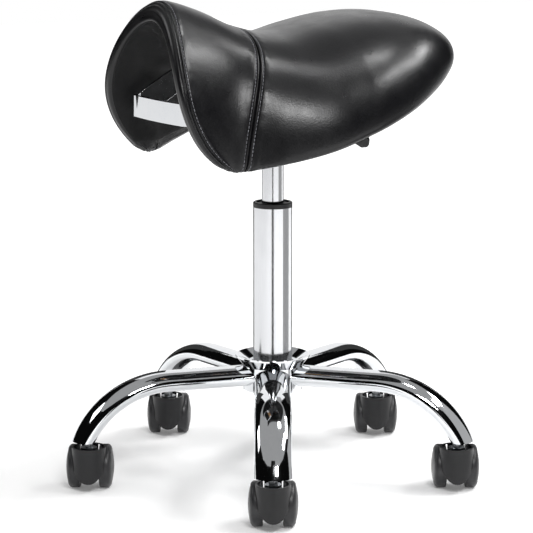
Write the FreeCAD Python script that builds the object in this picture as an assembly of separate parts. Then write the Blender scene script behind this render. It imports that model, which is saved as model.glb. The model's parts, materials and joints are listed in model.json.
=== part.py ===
import FreeCAD, Part

import math
import os

# Saddle stool on a five-legged chrome base with twin-wheel casters, a gas height column,
# a tilting seat mechanism with two levers, and a padded saddle seat with a chrome handle.
# Millimetres. The origin is on the floor under the column axis. +Z is up, -Y is the way
# the sitter faces and +X is the sitter's left.

# The ways the parts are turned at rest
SADDLE_HEADING = 31.0            # caster and base heading seen against the saddle, degrees
LEG_COUNT = 5

# Fits
RUNNING_FIT = 0.05               # radial clearance of shafts that turn or slide
LAYER_GAP = 0.3                  # between the curved layers of the seat
SIDE_PLAY = 0.5                  # along an axle, each side

# Casters
WHEEL_DIAMETER = 55.0
TREAD_WIDTH = 14.0
WHEEL_DOME = 4.2                 # how far the outer face swells past the tread
WHEEL_GAP = 24.0                 # between the two wheels
WHEEL_EDGE = 3.0
WHEEL_RECESS_DEPTH = 2.0
WHEEL_RING = 5.0                 # width of the rim round the recess of the inner face
CASTER_TRAIL = 18.0              # wheel axle behind the stem
HOOD_DIAMETER = 43.0
HOOD_TOP = 57.0
HOOD_BOTTOM = 13.0
HOOD_STRAIGHT = 13.0             # straight height of the hood's front below its rim
HOOD_CUP_DEPTH = 6.0
HOOD_CUP_WALL = 2.5
HOOD_WHEEL_ROOM = 1.2            # round the treads
HOOD_ARC = 60                    # degrees of the hood's round bottom that one arc takes
AXLE_DIAMETER = 6.0
AXLE_BOSS_DIAMETER = 22.0
STEM_DIAMETER = 11.0
STEM_SEAT_HEIGHT = 32.0          # how deep the stem's foot sits in the hood
STEM_FLANGE_DIAMETER = 20.0
STEM_FLANGE_THICKNESS = 2.5
STEM_FLANGE_LIFT = 3.0
WEB_PLAY = 1.5                   # between the hood's web and each wheel
DOME_SHAPE = 0.62                # where the dome's side view bends, as a share of its radius
DOME_SHOULDER = 0.8

# Legs and their sockets
STEM_CIRCLE_RADIUS = 243.0
LEG_WIDTH = 45.0
LEG_HEIGHT = 26.0
LEG_WALL = 2.0
LEG_AXIS_HEIGHT = 134.0
LEG_STRAIGHT_END = 140.0         # from the column axis
LEG_BEND_RADIUS = 123.0
LEG_END_HEIGHT = 66.0
SOCKET_DIAMETER = 20.0
SOCKET_LENGTH = 20.0
SOCKET_PLATE = 3.0
LEG_BEND_TURN = 78.0             # degrees, past the level cut at the leg's end

# Hub
HUB_DIAMETER = 76.0
HUB_BOTTOM = 115.0
HUB_TOP = 146.0
COLLAR_DIAMETER = 95.0
COLLAR_HEIGHT = 13.5
COLLAR_RIM = 2.0
COLLAR_WALL = 5.0
COLLAR_BORE_GAP = 1.5            # dark ring between the tube and the collar

# Gas column
COLUMN_DIAMETER = 50.0
COLUMN_WALL = 2.0
COLUMN_TOP = 350.5
COLUMN_BOTTOM = 106.0
COLUMN_FLOOR = 3.0
COLUMN_TAPER = 1.43              # degrees
COLUMN_TAPER_TOP = 147.0
BUSHING_LENGTH = 78.0
BUSHING_RIM = 6.5
BUSHING_LIP = 2.0
CYLINDER_DIAMETER = 28.0
CYLINDER_WALL = 1.5
CYLINDER_BOTTOM = 257.0
CYLINDER_TAPER_LENGTH = 28.0
CYLINDER_NECK = 2.0
SEAL_LENGTH = 15.0
VALVE_LENGTH = 40.0
LIFT_DOWN = 130.0
ROD_ROOM = 0.4                   # round the rod in the floor and the lower washer
BUFFER_DIAMETER = 24.0
CAGE_HALF_WIDTH = 2.6
PIN_TRAVEL = 3.0
ROD_DIAMETER = 10.0
ROD_TIP = 5.0
PISTON_BOTTOM = 292.0
PISTON_LENGTH = 14.0
CLIP_DIAMETER = 18.0
CLIP_THICKNESS = 1.2
CLIP_GROOVE = 1.0
THRUST_DIAMETER = 26.0
THRUST_WASHER = 1.5
BALL_DIAMETER = 3.0
BALL_COUNT = 12
CAGE_THICKNESS = 1.8
ROD_FLANGE = 3.0
PIN_DIAMETER = 7.0
PIN_STANDS_PROUD = 4.0
PIN_LENGTH = 27.0

# Tilting mechanism
HOUSING_BOTTOM = 490.0
HOUSING_HALF_WIDTH = 42.5
HOUSING_HALF_LENGTH = 62.0
HOUSING_HEIGHT = 32.0
HOUSING_WALL = 2.5
SOCKET_SLEEVE_DIAMETER = 40.0
PIVOT_FORWARD = 45.0
PIVOT_HEIGHT = 508.0
PIVOT_DIAMETER = 10.0
PIN_HEAD = 3.0
PIN_HEAD_GROWS = 3.0
CLAMP_BACK = 30.0                # behind the column axis
CLAMP_DIAMETER = 8.0
TILT_FORWARD = 10.0              # degrees, nose down
TILT_BACK = 2.0
TAB_THICKNESS = 3.0
PIVOT_TAB_HALF_WIDTH = 11.0
CLAMP_TAB_HALF_WIDTH = 9.0       # its rear edge stays clear of the tilt lever at full tilt
PLATE_TOP = 536.0
PLATE_THICKNESS = 3.0
PLATE_HALF_WIDTH = 50.0
PLATE_FRONT = 68.0
PLATE_BACK = 85.0
PLATE_CORNER = 12.0

# Levers
LEVER_ROD = 7.0
LEVER_PIVOT_OUT = 34.0           # from the column axis
LEVER_PIVOT_DIAMETER = 5.0
HEIGHT_LEVER_UP = 5.0            # degrees
TILT_LEVER_BACK = 48.0           # behind the column axis
TILT_LEVER_HEIGHT = 503.0
LEVER_TIP_OUT = 139.0
LEVER_TIP_HEIGHT = 444.0
LEVER_TURN_OUT = 58.0
GRIP_LENGTH = 52.0
GRIP_WIDTH = 14.0
GRIP_HEIGHT = 14.0
GRIP_SLOPE = 10.0                # degrees below level, towards the tip
GRIP_DRAFT = 2.0
SLOT_ROOM = 2.0
LUG_GAP = 13.0
LUG_THICKNESS = 2.5
LUG_HALF_WIDTH = 3.6
LEVER_BARREL = 7.0
LEVER_ARM_THICKNESS = 5.0
LEVER_ARM_WIDTH = 10.0
LEVER_ROD_START = 40.0
LEVER_BEND = 10.0
LEVER_NECK = 6.0                 # straight rod before the grip
GRIP_BORE_DEPTH = 34.0
GRIP_CORNER = 4.5
GRIP_NOSE = 3.0
TILT_ARM_TO = 24.0               # how far in the tilt lever's arm reaches
HOUSING_CORNER = 6.0
CLAMP_TAB_DROP = 22.0
BOARD_FRONT = 100.0

# Seat bolts, nuts and mounting board
BOLT_DIAMETER = 8.0
BOLT_HEAD = 14.0
BOLT_HEAD_HEIGHT = 5.0
BOLT_SPREAD = 34.0               # half the spacing across
BOLT_FRONT = 56.0
BOLT_BACK = 68.0
TEE_BARREL = 10.0
TEE_FLANGE = 20.0
TEE_FLANGE_THICKNESS = 1.5
TEE_BARREL_INSET = 2.0           # barrel's end above the seat plate

# Saddle: guide lines as (forward of the column axis, value)
FRONT_REACH = 186.0              # foremost point of the pommel edge
FRONT_REACH_HEIGHT = 520.0
FRONT_UPPER_RADIUS = 240.0
FRONT_LOWER_RADIUS = 122.0
FRONT_UPPER_TURN = 28.0          # degrees of the front edge's arc above its foremost point
FRONT_LOWER_TURN = 62.0          # and below it
WIDEST_AT = -45.0
HALF_WIDTH = 177.0
SEAT_BACK = -256.0
TAIL_ROUNDNESS = 1.48
CROWN_LINE = ((200, 608), (155, 615), (115, 604), (65, 582), (12, 573), (-45, 583),
              (-100, 592), (-155, 592), (-200, 580), (-236, 561), (-256, 541))
FRONT_WIDTH_LINE = ((200, 120), (155, 113), (115, 121), (65, 149), (12, 171), (-45, 177))
HEM_LINE = ((200, 424), (155, 418), (115, 416), (65, 425), (12, 439), (-45, 459),
            (-100, 480), (-155, 503), (-200, 520), (-236, 527), (-256, 527))
SIDE_FULLNESS = ((200, 1.9), (115, 1.9), (12, 2.2), (-100, 2.5), (-200, 2.45), (-256, 2.1))
CROWN_FULLNESS = ((200, 2.1), (115, 2.1), (12, 2.0), (-100, 2.05), (-200, 2.2), (-256, 2.0))
HOLLOW_LINE = ((200, 155), (155, 161), (115, 150), (65, 118), (12, 94), (-45, 76),
               (-100, 54), (-155, 26), (-200, 8), (-236, 3), (-256, 1.5))
HEM_RADIUS = 10.0
HEM_SHARE = 0.42                 # most of the half width or height that the rolled hem takes
LEAST_ROLL = 0.4                 # share of the roll that every inset layer keeps
SECTION_ANGLES = (0.0, 18.0, 36.0, 54.0, 72.0, 90.0)
STATIONS = (200, 160, 115, 65, 15, -40, -95, -145, -185)
TAIL_SHARES = (0.42, 0.72, 0.9, 0.98)

# Seat layers
COVER_THICKNESS = 1.3
SHELL_THICKNESS = 9.0
SHELL_FRONT_INSET = 14.0
SHELL_BACK = -205.0
LINING_STEP = 0.8                # how far the lining's edge reaches past its thickness
LINING_BACK_INSET = 18.0
SEAM_GAP = 0.3                   # between the two cover panels
TEE_POCKET = 5.0                 # how deep the tee nuts' flanges are let into the shell
TEE_CLEAR = 25.0                 # height of the pocket's cutter above the flange's seat
SEAM_TOP = (46.0, 600.0)
SEAM_MIDDLE = (90.5, 512.0)
SEAM_BOTTOM = (111.0, 405.0)

# Handle under the pommel
HANDLE_REACH = 165.0
HANDLE_BOW = 7.0
HANDLE_HALF_WIDTH = 60.0
HANDLE_THICKNESS = 4.5
HANDLE_CORNER_RADIUS = 14.0
HANDLE_LOW = 469.0
HANDLE_HIGH = 495.5
HANDLE_RISE_FROM = 150.0
HANDLE_DEPTH = 14.0              # how much sooner the legs' lower edge starts to rise
HANDLE_FOOT_FRONT = 94.0
HANDLE_FOOT_BACK = 71.0
HANDLE_FOOT_DROP = 18.0
HANDLE_FOOT_INNER = 32.0
HANDLE_SCREW = 5.0
HANDLE_SCREW_OUT = 42.0
HANDLE_SCREW_FORWARD = 82.0
HANDLE_SCREW_LENGTH = 12.0
HANDLE_SCREW_HEAD = 10.0
HANDLE_SCREW_HEAD_HEIGHT = 3.0

CYLINDER_TOP = HOUSING_BOTTOM + CYLINDER_TAPER_LENGTH + CYLINDER_NECK
HIGHEST = max(height for forward, height in CROWN_LINE)
FAR = 400.0                      # past every piece, for the blocks that trim them
UP = FreeCAD.Vector(0, 0, 1)
LEFTWARD = FreeCAD.Vector(1, 0, 0)
BACKWARD = FreeCAD.Vector(0, 1, 0)


def at(forward, left, height):
    """Point from distances forward, to the sitter's left and up."""
    return FreeCAD.Vector(left, -forward, height)


def save(node, shape):
    """Write one node's solids to its STEP file."""
    shape.exportStep(os.path.join("parts", node + ".step"))


def group(shapes):
    """Several separate solids that share one node."""
    return Part.makeCompound(list(shapes))


def upright(radius, low, high, x=0.0, y=0.0):
    """Vertical cylinder between two heights."""
    return Part.makeCylinder(radius, high - low, FreeCAD.Vector(x, y, low), UP)


def crosswise(radius, left_from, left_to, forward, height):
    """Cylinder along the sitter's left-right direction."""
    return Part.makeCylinder(radius, left_to - left_from, at(forward, left_from, height), LEFTWARD)


def block(x0, x1, y0, y1, z0, z1):
    """Box between two corners."""
    return Part.makeBox(x1 - x0, y1 - y0, z1 - z0, FreeCAD.Vector(x0, y0, z0))


def upright_edges(shape):
    """The vertical edges of a block."""
    return [edge for edge in shape.Edges
            if edge.BoundBox.ZLength > edge.BoundBox.XLength + edge.BoundBox.YLength]


def turned(outline):
    """Solid of revolution about Z from (radius, height) points."""
    points = [FreeCAD.Vector(radius, 0, height) for radius, height in outline]
    wire = Part.makePolygon(points + points[:1])
    return Part.Face(wire).revolve(FreeCAD.Vector(0, 0, 0), UP, 360)


def taper_radius(top_radius, drop):
    """Radius of the column or cylinder taper this far from its wide end."""
    return top_radius - drop * math.tan(math.radians(COLUMN_TAPER))


# Guide lines of the saddle

def along(line, forward):
    """Value of a guide line at a forward position, by a smooth curve through its points."""
    points = sorted(line)
    xs = [point[0] for point in points]
    ys = [point[1] for point in points]
    forward = min(max(forward, xs[0]), xs[-1])
    steps = [(ys[i + 1] - ys[i]) / (xs[i + 1] - xs[i]) for i in range(len(xs) - 1)]
    slopes = [steps[0]]
    for i in range(1, len(steps)):
        before = xs[i] - xs[i - 1]
        after = xs[i + 1] - xs[i]
        slopes.append((steps[i - 1] * after + steps[i] * before) / (before + after))
    slopes.append(steps[-1])
    i = max(k for k in range(len(steps)) if forward >= xs[k])
    span = xs[i + 1] - xs[i]
    t = (forward - xs[i]) / span
    start = (1 + 2 * t) * (1 - t) ** 2 * ys[i] + t * (1 - t) ** 2 * span * slopes[i]
    end = t * t * (3 - 2 * t) * ys[i + 1] + t * t * (t - 1) * span * slopes[i + 1]
    return start + end


def half_width(forward, inset):
    """Half the saddle's width: a guide line in front, a rounded tail behind."""
    if forward >= WIDEST_AT:
        return along(FRONT_WIDTH_LINE, forward) - inset
    share = (WIDEST_AT - forward) / (WIDEST_AT - SEAT_BACK - inset)
    return (HALF_WIDTH - inset) * (1 - share * share) ** (1 / TAIL_ROUNDNESS)


class Section:
    """The saddle's cross section at one forward position, for a layer inset from the skin."""

    def __init__(self, forward, inset=0.0, raised=0.0):
        self.forward = forward
        self.width = half_width(forward, inset)
        self.crown = along(CROWN_LINE, forward) - inset
        hem = along(HEM_LINE, forward)
        full = along(CROWN_LINE, forward) - hem
        roll = min(HEM_RADIUS, HEM_SHARE * full, HEM_SHARE * half_width(forward, 0.0))
        self.base = hem + roll
        self.roll = min(max(roll - inset, LEAST_ROLL * roll), HEM_SHARE * self.width)
        self.side = along(SIDE_FULLNESS, forward)
        self.top = along(CROWN_FULLNESS, forward)
        self.under = self.base + along(HOLLOW_LINE, forward)
        self.inner = self.width - 2 * self.roll
        self.base += raised

    def point(self, angle, width, crown):
        """Point of an arch of this section, 0 degrees at its crown, 90 at its hem."""
        turn = math.radians(abs(angle))
        across = width * math.sin(turn) ** (2 / self.side)
        rise = (crown - self.base) * max(math.cos(turn), 0.0) ** (2 / self.top)
        if abs(angle) >= 90:
            rise = 0.0
        return at(self.forward, math.copysign(across, angle), self.base + rise)

    def arch(self, width, crown, reverse=False):
        """Arcs from the right hem over the crown to the left hem."""
        angles = [-angle for angle in reversed(SECTION_ANGLES[1:])] + list(SECTION_ANGLES)
        points = [self.point(angle, width, crown) for angle in angles]
        if reverse:
            points.reverse()
        return [Part.Arc(points[i], points[i + 1], points[i + 2]).toShape()
                for i in range(0, len(points) - 2, 2)]

    def hem_roll(self, side):
        """Two quarter arcs round the lower edge, from the outer face to the inner face."""
        centre = self.width - self.roll
        reach = self.roll / math.sqrt(2)

        def rim(across, drop):
            return at(self.forward, side * across, self.base - drop)

        outer = Part.Arc(rim(self.width, 0), rim(centre + reach, reach), rim(centre, self.roll))
        inner = Part.Arc(rim(centre, self.roll), rim(centre - reach, reach), rim(self.inner, 0))
        if side > 0:
            return [outer.toShape(), inner.toShape()]
        return [Part.Arc(rim(self.inner, 0), rim(centre - reach, reach),
                         rim(centre, self.roll)).toShape(),
                Part.Arc(rim(centre, self.roll), rim(centre + reach, reach),
                         rim(self.width, 0)).toShape()]

    def cushion_wire(self, under_inset):
        """Closed outline of the padded arch with its rolled hems."""
        crown = self.under + under_inset
        edges = self.arch(self.width, self.crown)
        edges += self.hem_roll(1)
        edges += self.arch(self.inner, crown, reverse=True)
        edges += self.hem_roll(-1)
        return Part.Wire(edges)

    def tunnel_wire(self, grow):
        """Closed outline of the hollow under the saddle, grown outwards by grow."""
        edges = self.arch(self.inner + grow, self.under + grow)
        left = at(self.forward, self.inner + grow, self.base)
        right = at(self.forward, -self.inner - grow, self.base)
        edges.append(Part.LineSegment(left, right).toShape())
        return Part.Wire(edges)

    def shell_wire(self, low, high):
        """Closed outline of an arched layer between two offsets above the hollow."""
        edges = self.arch(self.inner + high, self.under + high)
        edges.append(self.foot(1, high, low))
        edges += self.arch(self.inner + low, self.under + low, reverse=True)
        edges.append(self.foot(-1, low, high))
        return Part.Wire(edges)

    def foot(self, side, first, last):
        """Straight lower edge of an arched layer on one side."""
        start = at(self.forward, side * (self.inner + first), self.base)
        end = at(self.forward, side * (self.inner + last), self.base)
        return Part.LineSegment(start, end).toShape()

    def height_at(self, left, offset):
        """Height of the layer surface at this offset above the hollow, at a distance left."""
        share = min(abs(left) / (self.inner + offset), 1.0)
        rise = (1 - share ** self.side) ** (1 / self.top)
        return self.base + (self.under + offset - self.base) * rise


def stations(back):
    """Forward positions of the sections, from before the pommel to a layer's back."""
    last = STATIONS[-1]
    if back > last:
        return [forward for forward in STATIONS if forward > back] + [back]
    return list(STATIONS) + [last + (back - last) * share for share in TAIL_SHARES]


def front_block(inset):
    """Everything behind the pommel's front edge, two arcs in side view, moved back by inset."""
    reach = FRONT_REACH - inset
    upper = FRONT_UPPER_RADIUS - inset
    lower = FRONT_LOWER_RADIUS - inset
    up_turn = math.radians(FRONT_UPPER_TURN)
    down_turn = math.radians(FRONT_LOWER_TURN)

    def rim(radius, turn):
        return at(reach - radius + radius * math.cos(turn), -FAR,
                  FRONT_REACH_HEIGHT + radius * math.sin(turn))

    top = rim(upper, up_turn)
    low = rim(lower, -down_turn)
    back_top = at(-FAR, -FAR, top.z)
    back_low = at(-FAR, -FAR, low.z)
    edges = [Part.Arc(top, rim(upper, up_turn / 2), rim(upper, 0)).toShape(),
             Part.Arc(rim(upper, 0), rim(lower, -down_turn / 2), low).toShape(),
             Part.LineSegment(low, back_low).toShape(),
             Part.LineSegment(back_low, back_top).toShape(),
             Part.LineSegment(back_top, top).toShape()]
    return Part.Face(Part.Wire(edges)).extrude(LEFTWARD * (2 * FAR))


def seam_block(shift):
    """Everything ahead of the cross seam, which is an arc in side view."""
    top, middle, low = [at(forward + shift, -FAR, height)
                        for forward, height in (SEAM_TOP, SEAM_MIDDLE, SEAM_BOTTOM)]
    above = at(SEAM_TOP[0] + shift, -FAR, SEAM_TOP[1] + FAR)
    corner = at(FAR, -FAR, SEAM_TOP[1] + FAR)
    below = at(FAR, -FAR, SEAM_BOTTOM[1])
    edges = [Part.LineSegment(above, top).toShape(),
             Part.Arc(top, middle, low).toShape(),
             Part.LineSegment(low, below).toShape(),
             Part.LineSegment(below, corner).toShape(),
             Part.LineSegment(corner, above).toShape()]
    return Part.Face(Part.Wire(edges)).extrude(LEFTWARD * (2 * FAR))


def cushion_form(inset):
    """The whole padded saddle with its rolled hem, inset from the skin."""
    wires = [Section(forward, inset).cushion_wire(inset) for forward in stations(SEAT_BACK + inset)]
    return Part.makeLoft(wires, True, False).common(front_block(inset))


def hollow(grow, back):
    """The space under the saddle down to its hem, grown outwards by grow."""
    wires = [Section(forward).tunnel_wire(grow) for forward in stations(back)]
    return Part.makeLoft(wires, True, False)


def bolt_places():
    """Forward and left positions of the four seat bolts."""
    return [(forward, side * BOLT_SPREAD) for forward in (BOLT_FRONT, -BOLT_BACK)
            for side in (1, -1)]


def shell_low():
    """Offset of the shell's underside above the hollow."""
    return COVER_THICKNESS + LAYER_GAP


def shell_high():
    """Offset of the shell's top above the hollow."""
    return shell_low() + SHELL_THICKNESS


def tee_seat_height(forward, left):
    """Height at which a tee nut's flange rests in its pocket in the shell."""
    return Section(forward).height_at(left, shell_high()) - TEE_POCKET


def build_seat_shell():
    """Moulded plywood saddle with the pockets and holes of the tee nuts."""
    wires = [Section(forward, 0.0, LAYER_GAP).shell_wire(shell_low(), shell_high())
             for forward in stations(SHELL_BACK)]
    shell = Part.makeLoft(wires, True, False).common(front_block(SHELL_FRONT_INSET))
    for forward, left in bolt_places():
        seat = tee_seat_height(forward, left)
        shell = shell.cut(upright(TEE_FLANGE / 2 + LAYER_GAP, seat, seat + TEE_CLEAR, left, -forward))
        shell = shell.cut(upright(TEE_BARREL / 2 + LAYER_GAP, PLATE_TOP, seat, left, -forward))
    return shell


def build_seat_soft_parts():
    """Foam, the two cover panels and the lining, as closed layers round the shell."""
    whole = cushion_form(0.0)
    skin = whole.cut(cushion_form(COVER_THICKNESS))
    lining_space = hollow(COVER_THICKNESS + LINING_STEP, SEAT_BACK + LINING_BACK_INSET)
    lining = skin.common(lining_space)
    for forward, left in bolt_places():
        lining = lining.cut(upright(TEE_BARREL / 2 + LAYER_GAP, PLATE_TOP, HIGHEST, left, -forward))
    wider = hollow(COVER_THICKNESS + LINING_STEP + LAYER_GAP,
                   SEAT_BACK + LINING_BACK_INSET - LAYER_GAP)
    cover = skin.cut(wider)
    save("cover_front", cover.common(seam_block(0.0)))
    save("cover_rear", cover.cut(seam_block(-SEAM_GAP)))
    save("seat_lining", lining)
    foam = cushion_form(COVER_THICKNESS + LAYER_GAP)
    shell_space = hollow(shell_high() + LAYER_GAP, SHELL_BACK - LAYER_GAP)
    save("seat_foam", foam.cut(shell_space.common(front_block(SHELL_FRONT_INSET - LAYER_GAP))))


def build_mounting_board():
    """Wooden block between the seat plate and the curved underside, with its bolt holes."""
    board = block(-PLATE_HALF_WIDTH, PLATE_HALF_WIDTH, -BOARD_FRONT, PLATE_BACK,
                  PLATE_TOP, HIGHEST)
    board = board.common(hollow(-LAYER_GAP, SHELL_BACK))
    for forward, left in bolt_places():
        board = board.cut(upright(TEE_BARREL / 2 + LAYER_GAP, PLATE_TOP, HIGHEST, left, -forward))
    for side in (1, -1):
        board = board.cut(upright(HANDLE_SCREW / 2, PLATE_TOP, PLATE_TOP + HANDLE_SCREW_LENGTH,
                                  side * HANDLE_SCREW_OUT, -HANDLE_SCREW_FORWARD))
    return board


def build_tee_nuts():
    """Four flanged nuts let into the shell from above."""
    nuts = []
    for forward, left in bolt_places():
        seat = tee_seat_height(forward, left)
        low = PLATE_TOP + TEE_BARREL_INSET
        nut = upright(TEE_FLANGE / 2, seat, seat + TEE_FLANGE_THICKNESS, left, -forward)
        nut = nut.fuse(upright(TEE_BARREL / 2, low, seat, left, -forward)).removeSplitter()
        nuts.append(nut.cut(upright(BOLT_DIAMETER / 2, low, seat + TEE_FLANGE, left, -forward)))
    return group(nuts)


def hexagon(across_flats, low, high, x, y):
    """Upright hexagonal prism."""
    radius = across_flats / math.sqrt(3)
    turns = [math.radians(60 * step) for step in range(6)]
    corners = [FreeCAD.Vector(x + radius * math.cos(turn), y + radius * math.sin(turn), low)
               for turn in turns]
    outline = Part.makePolygon(corners + corners[:1])
    return Part.Face(outline).extrude(UP * (high - low))


def build_seat_bolts():
    """Four hexagon bolts from below the seat plate into the tee nuts."""
    bolts = []
    under = PLATE_TOP - PLATE_THICKNESS
    for forward, left in bolt_places():
        top = tee_seat_height(forward, left) + TEE_FLANGE_THICKNESS
        head = hexagon(BOLT_HEAD, under - BOLT_HEAD_HEIGHT, under, left, -forward)
        bolts.append(head.fuse(upright(BOLT_DIAMETER / 2, under, top, left, -forward)))
    return group(bolts)


# Seat plate and tilting mechanism

def tab_pair(centre_y, half_width, low):
    """Pair of upright tabs under the seat plate, outside the housing's walls."""
    inner = HOUSING_HALF_WIDTH + SIDE_PLAY
    outer = inner + TAB_THICKNESS
    top = PLATE_TOP - PLATE_THICKNESS
    y0 = centre_y - half_width
    y1 = centre_y + half_width
    return block(inner, outer, y0, y1, low, top).fuse(block(-outer, -inner, y0, y1, low, top))


def clamp_slot():
    """Swept space of the clamp rod through the rear tabs as the seat tilts."""
    arm = CLAMP_BACK + PIVOT_FORWARD
    half = CLAMP_DIAMETER / 2 + SLOT_ROOM / 2
    reach = HOUSING_HALF_WIDTH + TAB_THICKNESS + PIN_HEAD
    corners = [at(PIVOT_FORWARD - arm - dy, left, PIVOT_HEIGHT)
               for dy, left in ((-half, -reach), (half, -reach), (half, reach), (-half, reach))]
    pivot = at(PIVOT_FORWARD, 0, PIVOT_HEIGHT)
    band = Part.Face(Part.makePolygon(corners + corners[:1]))
    band.rotate(pivot, LEFTWARD, -TILT_FORWARD)
    slot = band.revolve(pivot, LEFTWARD, TILT_FORWARD + TILT_BACK)
    for turn in (-TILT_FORWARD, TILT_BACK):
        end = crosswise(half, -reach, reach, -CLAMP_BACK, PIVOT_HEIGHT)
        end.rotate(pivot, LEFTWARD, turn)
        slot = slot.fuse(end)
    return slot


def build_seat_plate():
    """Steel plate bolted under the seat, with two pivot tabs and two slotted clamp tabs."""
    top = PLATE_TOP
    low = PLATE_TOP - PLATE_THICKNESS
    plate = block(-PLATE_HALF_WIDTH, PLATE_HALF_WIDTH, -PLATE_FRONT, PLATE_BACK, low, top)
    plate = plate.makeFillet(PLATE_CORNER, upright_edges(plate))
    plate = plate.fuse(tab_pair(-PIVOT_FORWARD, PIVOT_TAB_HALF_WIDTH,
                                PIVOT_HEIGHT - PIVOT_TAB_HALF_WIDTH))
    plate = plate.fuse(tab_pair(CLAMP_BACK, CLAMP_TAB_HALF_WIDTH, PIVOT_HEIGHT - CLAMP_TAB_DROP))
    plate = plate.removeSplitter()
    reach = PLATE_HALF_WIDTH
    plate = plate.cut(crosswise(PIVOT_DIAMETER / 2 + RUNNING_FIT, -reach, reach,
                                PIVOT_FORWARD, PIVOT_HEIGHT))
    plate = plate.cut(clamp_slot())
    for forward, left in bolt_places():
        plate = plate.cut(upright(BOLT_DIAMETER / 2, low, top, left, -forward))
    return plate


def lug_pair(x, y, height, foot):
    """Two small upright lugs that carry a lever's pivot pin."""
    inner = LUG_GAP / 2
    lugs = []
    for side in (1, -1):
        near = y + side * inner
        far = near + side * LUG_THICKNESS
        low_y = min(near, far)
        high_y = max(near, far)
        lug = block(x - LUG_HALF_WIDTH, x + LUG_HALF_WIDTH, low_y, high_y, foot, height)
        eye = Part.makeCylinder(LUG_HALF_WIDTH, LUG_THICKNESS,
                                FreeCAD.Vector(x, low_y, height), BACKWARD)
        lugs.append(lug.fuse(eye))
    return lugs


def build_mechanism_housing():
    """Pressed steel tray with its taper sleeve, lever lugs, rod holes and lever opening."""
    w = HOUSING_HALF_WIDTH
    n = HOUSING_HALF_LENGTH
    wall = HOUSING_WALL
    low = HOUSING_BOTTOM
    top = HOUSING_BOTTOM + HOUSING_HEIGHT
    tray = block(-w, w, -n, n, low, top)
    tray = tray.makeFillet(HOUSING_CORNER, upright_edges(tray))
    inside = block(-w + wall, w - wall, -n + wall, n - wall, low + wall, top)
    tray = tray.cut(inside.makeFillet(HOUSING_CORNER - wall, upright_edges(inside)))
    tray = tray.cut(upright(SOCKET_SLEEVE_DIAMETER / 2, low, low + wall)).fuse(taper_sleeve())
    floor = low + wall
    for lug in lug_pair(-LEVER_PIVOT_OUT, 0.0, height_pivot(), floor):
        tray = tray.fuse(lug)
    for lug in lug_pair(LEVER_PIVOT_OUT, TILT_LEVER_BACK, TILT_LEVER_HEIGHT, floor):
        tray = tray.fuse(lug)
    tray = tray.removeSplitter()
    for x, y, height in ((-LEVER_PIVOT_OUT, 0.0, height_pivot()),
                         (LEVER_PIVOT_OUT, TILT_LEVER_BACK, TILT_LEVER_HEIGHT)):
        tray = tray.cut(along_y(LEVER_PIVOT_DIAMETER / 2, x, y, height, LUG_GAP + 2 * LUG_THICKNESS))
    tray = tray.cut(crosswise(PIVOT_DIAMETER / 2, -w, w, PIVOT_FORWARD, PIVOT_HEIGHT))
    tray = tray.cut(crosswise(CLAMP_DIAMETER / 2, -w, w, -CLAMP_BACK, PIVOT_HEIGHT))
    slot = LEVER_ROD / 2 + SLOT_ROOM
    return tray.cut(block(w - wall, w, TILT_LEVER_BACK - slot, TILT_LEVER_BACK + slot,
                          TILT_LEVER_HEIGHT - slot, top))


def along_y(radius, x, y, height, length):
    """Cylinder along Y, centred at y."""
    return Part.makeCylinder(radius, length, FreeCAD.Vector(x, y - length / 2, height), BACKWARD)


def height_pivot():
    """Height of the height lever's pivot: its inner arm rests just above the release pin."""
    return CYLINDER_TOP + PIN_STANDS_PROUD + LAYER_GAP + LEVER_ARM_THICKNESS / 2


def taper_sleeve():
    """Sleeve welded in the housing that takes the cylinder's taper."""
    outer = SOCKET_SLEEVE_DIAMETER / 2
    top = HOUSING_BOTTOM + CYLINDER_TAPER_LENGTH
    wide = CYLINDER_DIAMETER / 2
    narrow = taper_radius(wide, CYLINDER_TAPER_LENGTH)
    return turned([(wide, HOUSING_BOTTOM), (outer, HOUSING_BOTTOM), (outer, top), (narrow, top)])


def cross_pin(diameter, forward, height):
    """Rod across the mechanism with a head on each end, outside the seat plate's tabs."""
    reach = HOUSING_HALF_WIDTH + SIDE_PLAY + TAB_THICKNESS + SIDE_PLAY
    rod = crosswise(diameter / 2, -reach, reach, forward, height)
    head = diameter / 2 + PIN_HEAD_GROWS
    rod = rod.fuse(crosswise(head, reach, reach + PIN_HEAD, forward, height))
    rod = rod.fuse(crosswise(head, -reach - PIN_HEAD, -reach, forward, height))
    return rod.removeSplitter()


def bent_rod(points, radius, bend):
    """Round rod along straight runs joined by arcs of the given bend radius."""
    edges = []
    start = points[0]
    for i in range(1, len(points) - 1):
        before = (points[i - 1] - points[i]).normalize()
        after = (points[i + 1] - points[i]).normalize()
        half_turn = before.getAngle(after) / 2
        reach = bend / math.tan(half_turn)
        a = points[i] + before * reach
        b = points[i] + after * reach
        centre_way = (before + after).normalize()
        middle = points[i] + centre_way * (bend / math.sin(half_turn) - bend)
        edges.append(Part.LineSegment(start, a).toShape())
        edges.append(Part.Arc(a, middle, b).toShape())
        start = b
    edges.append(Part.LineSegment(start, points[-1]).toShape())
    way = (points[1] - points[0]).normalize()
    profile = Part.Wire(Part.makeCircle(radius, points[0], way))
    return Part.Wire(edges).makePipeShell([profile], True, True)


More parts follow.
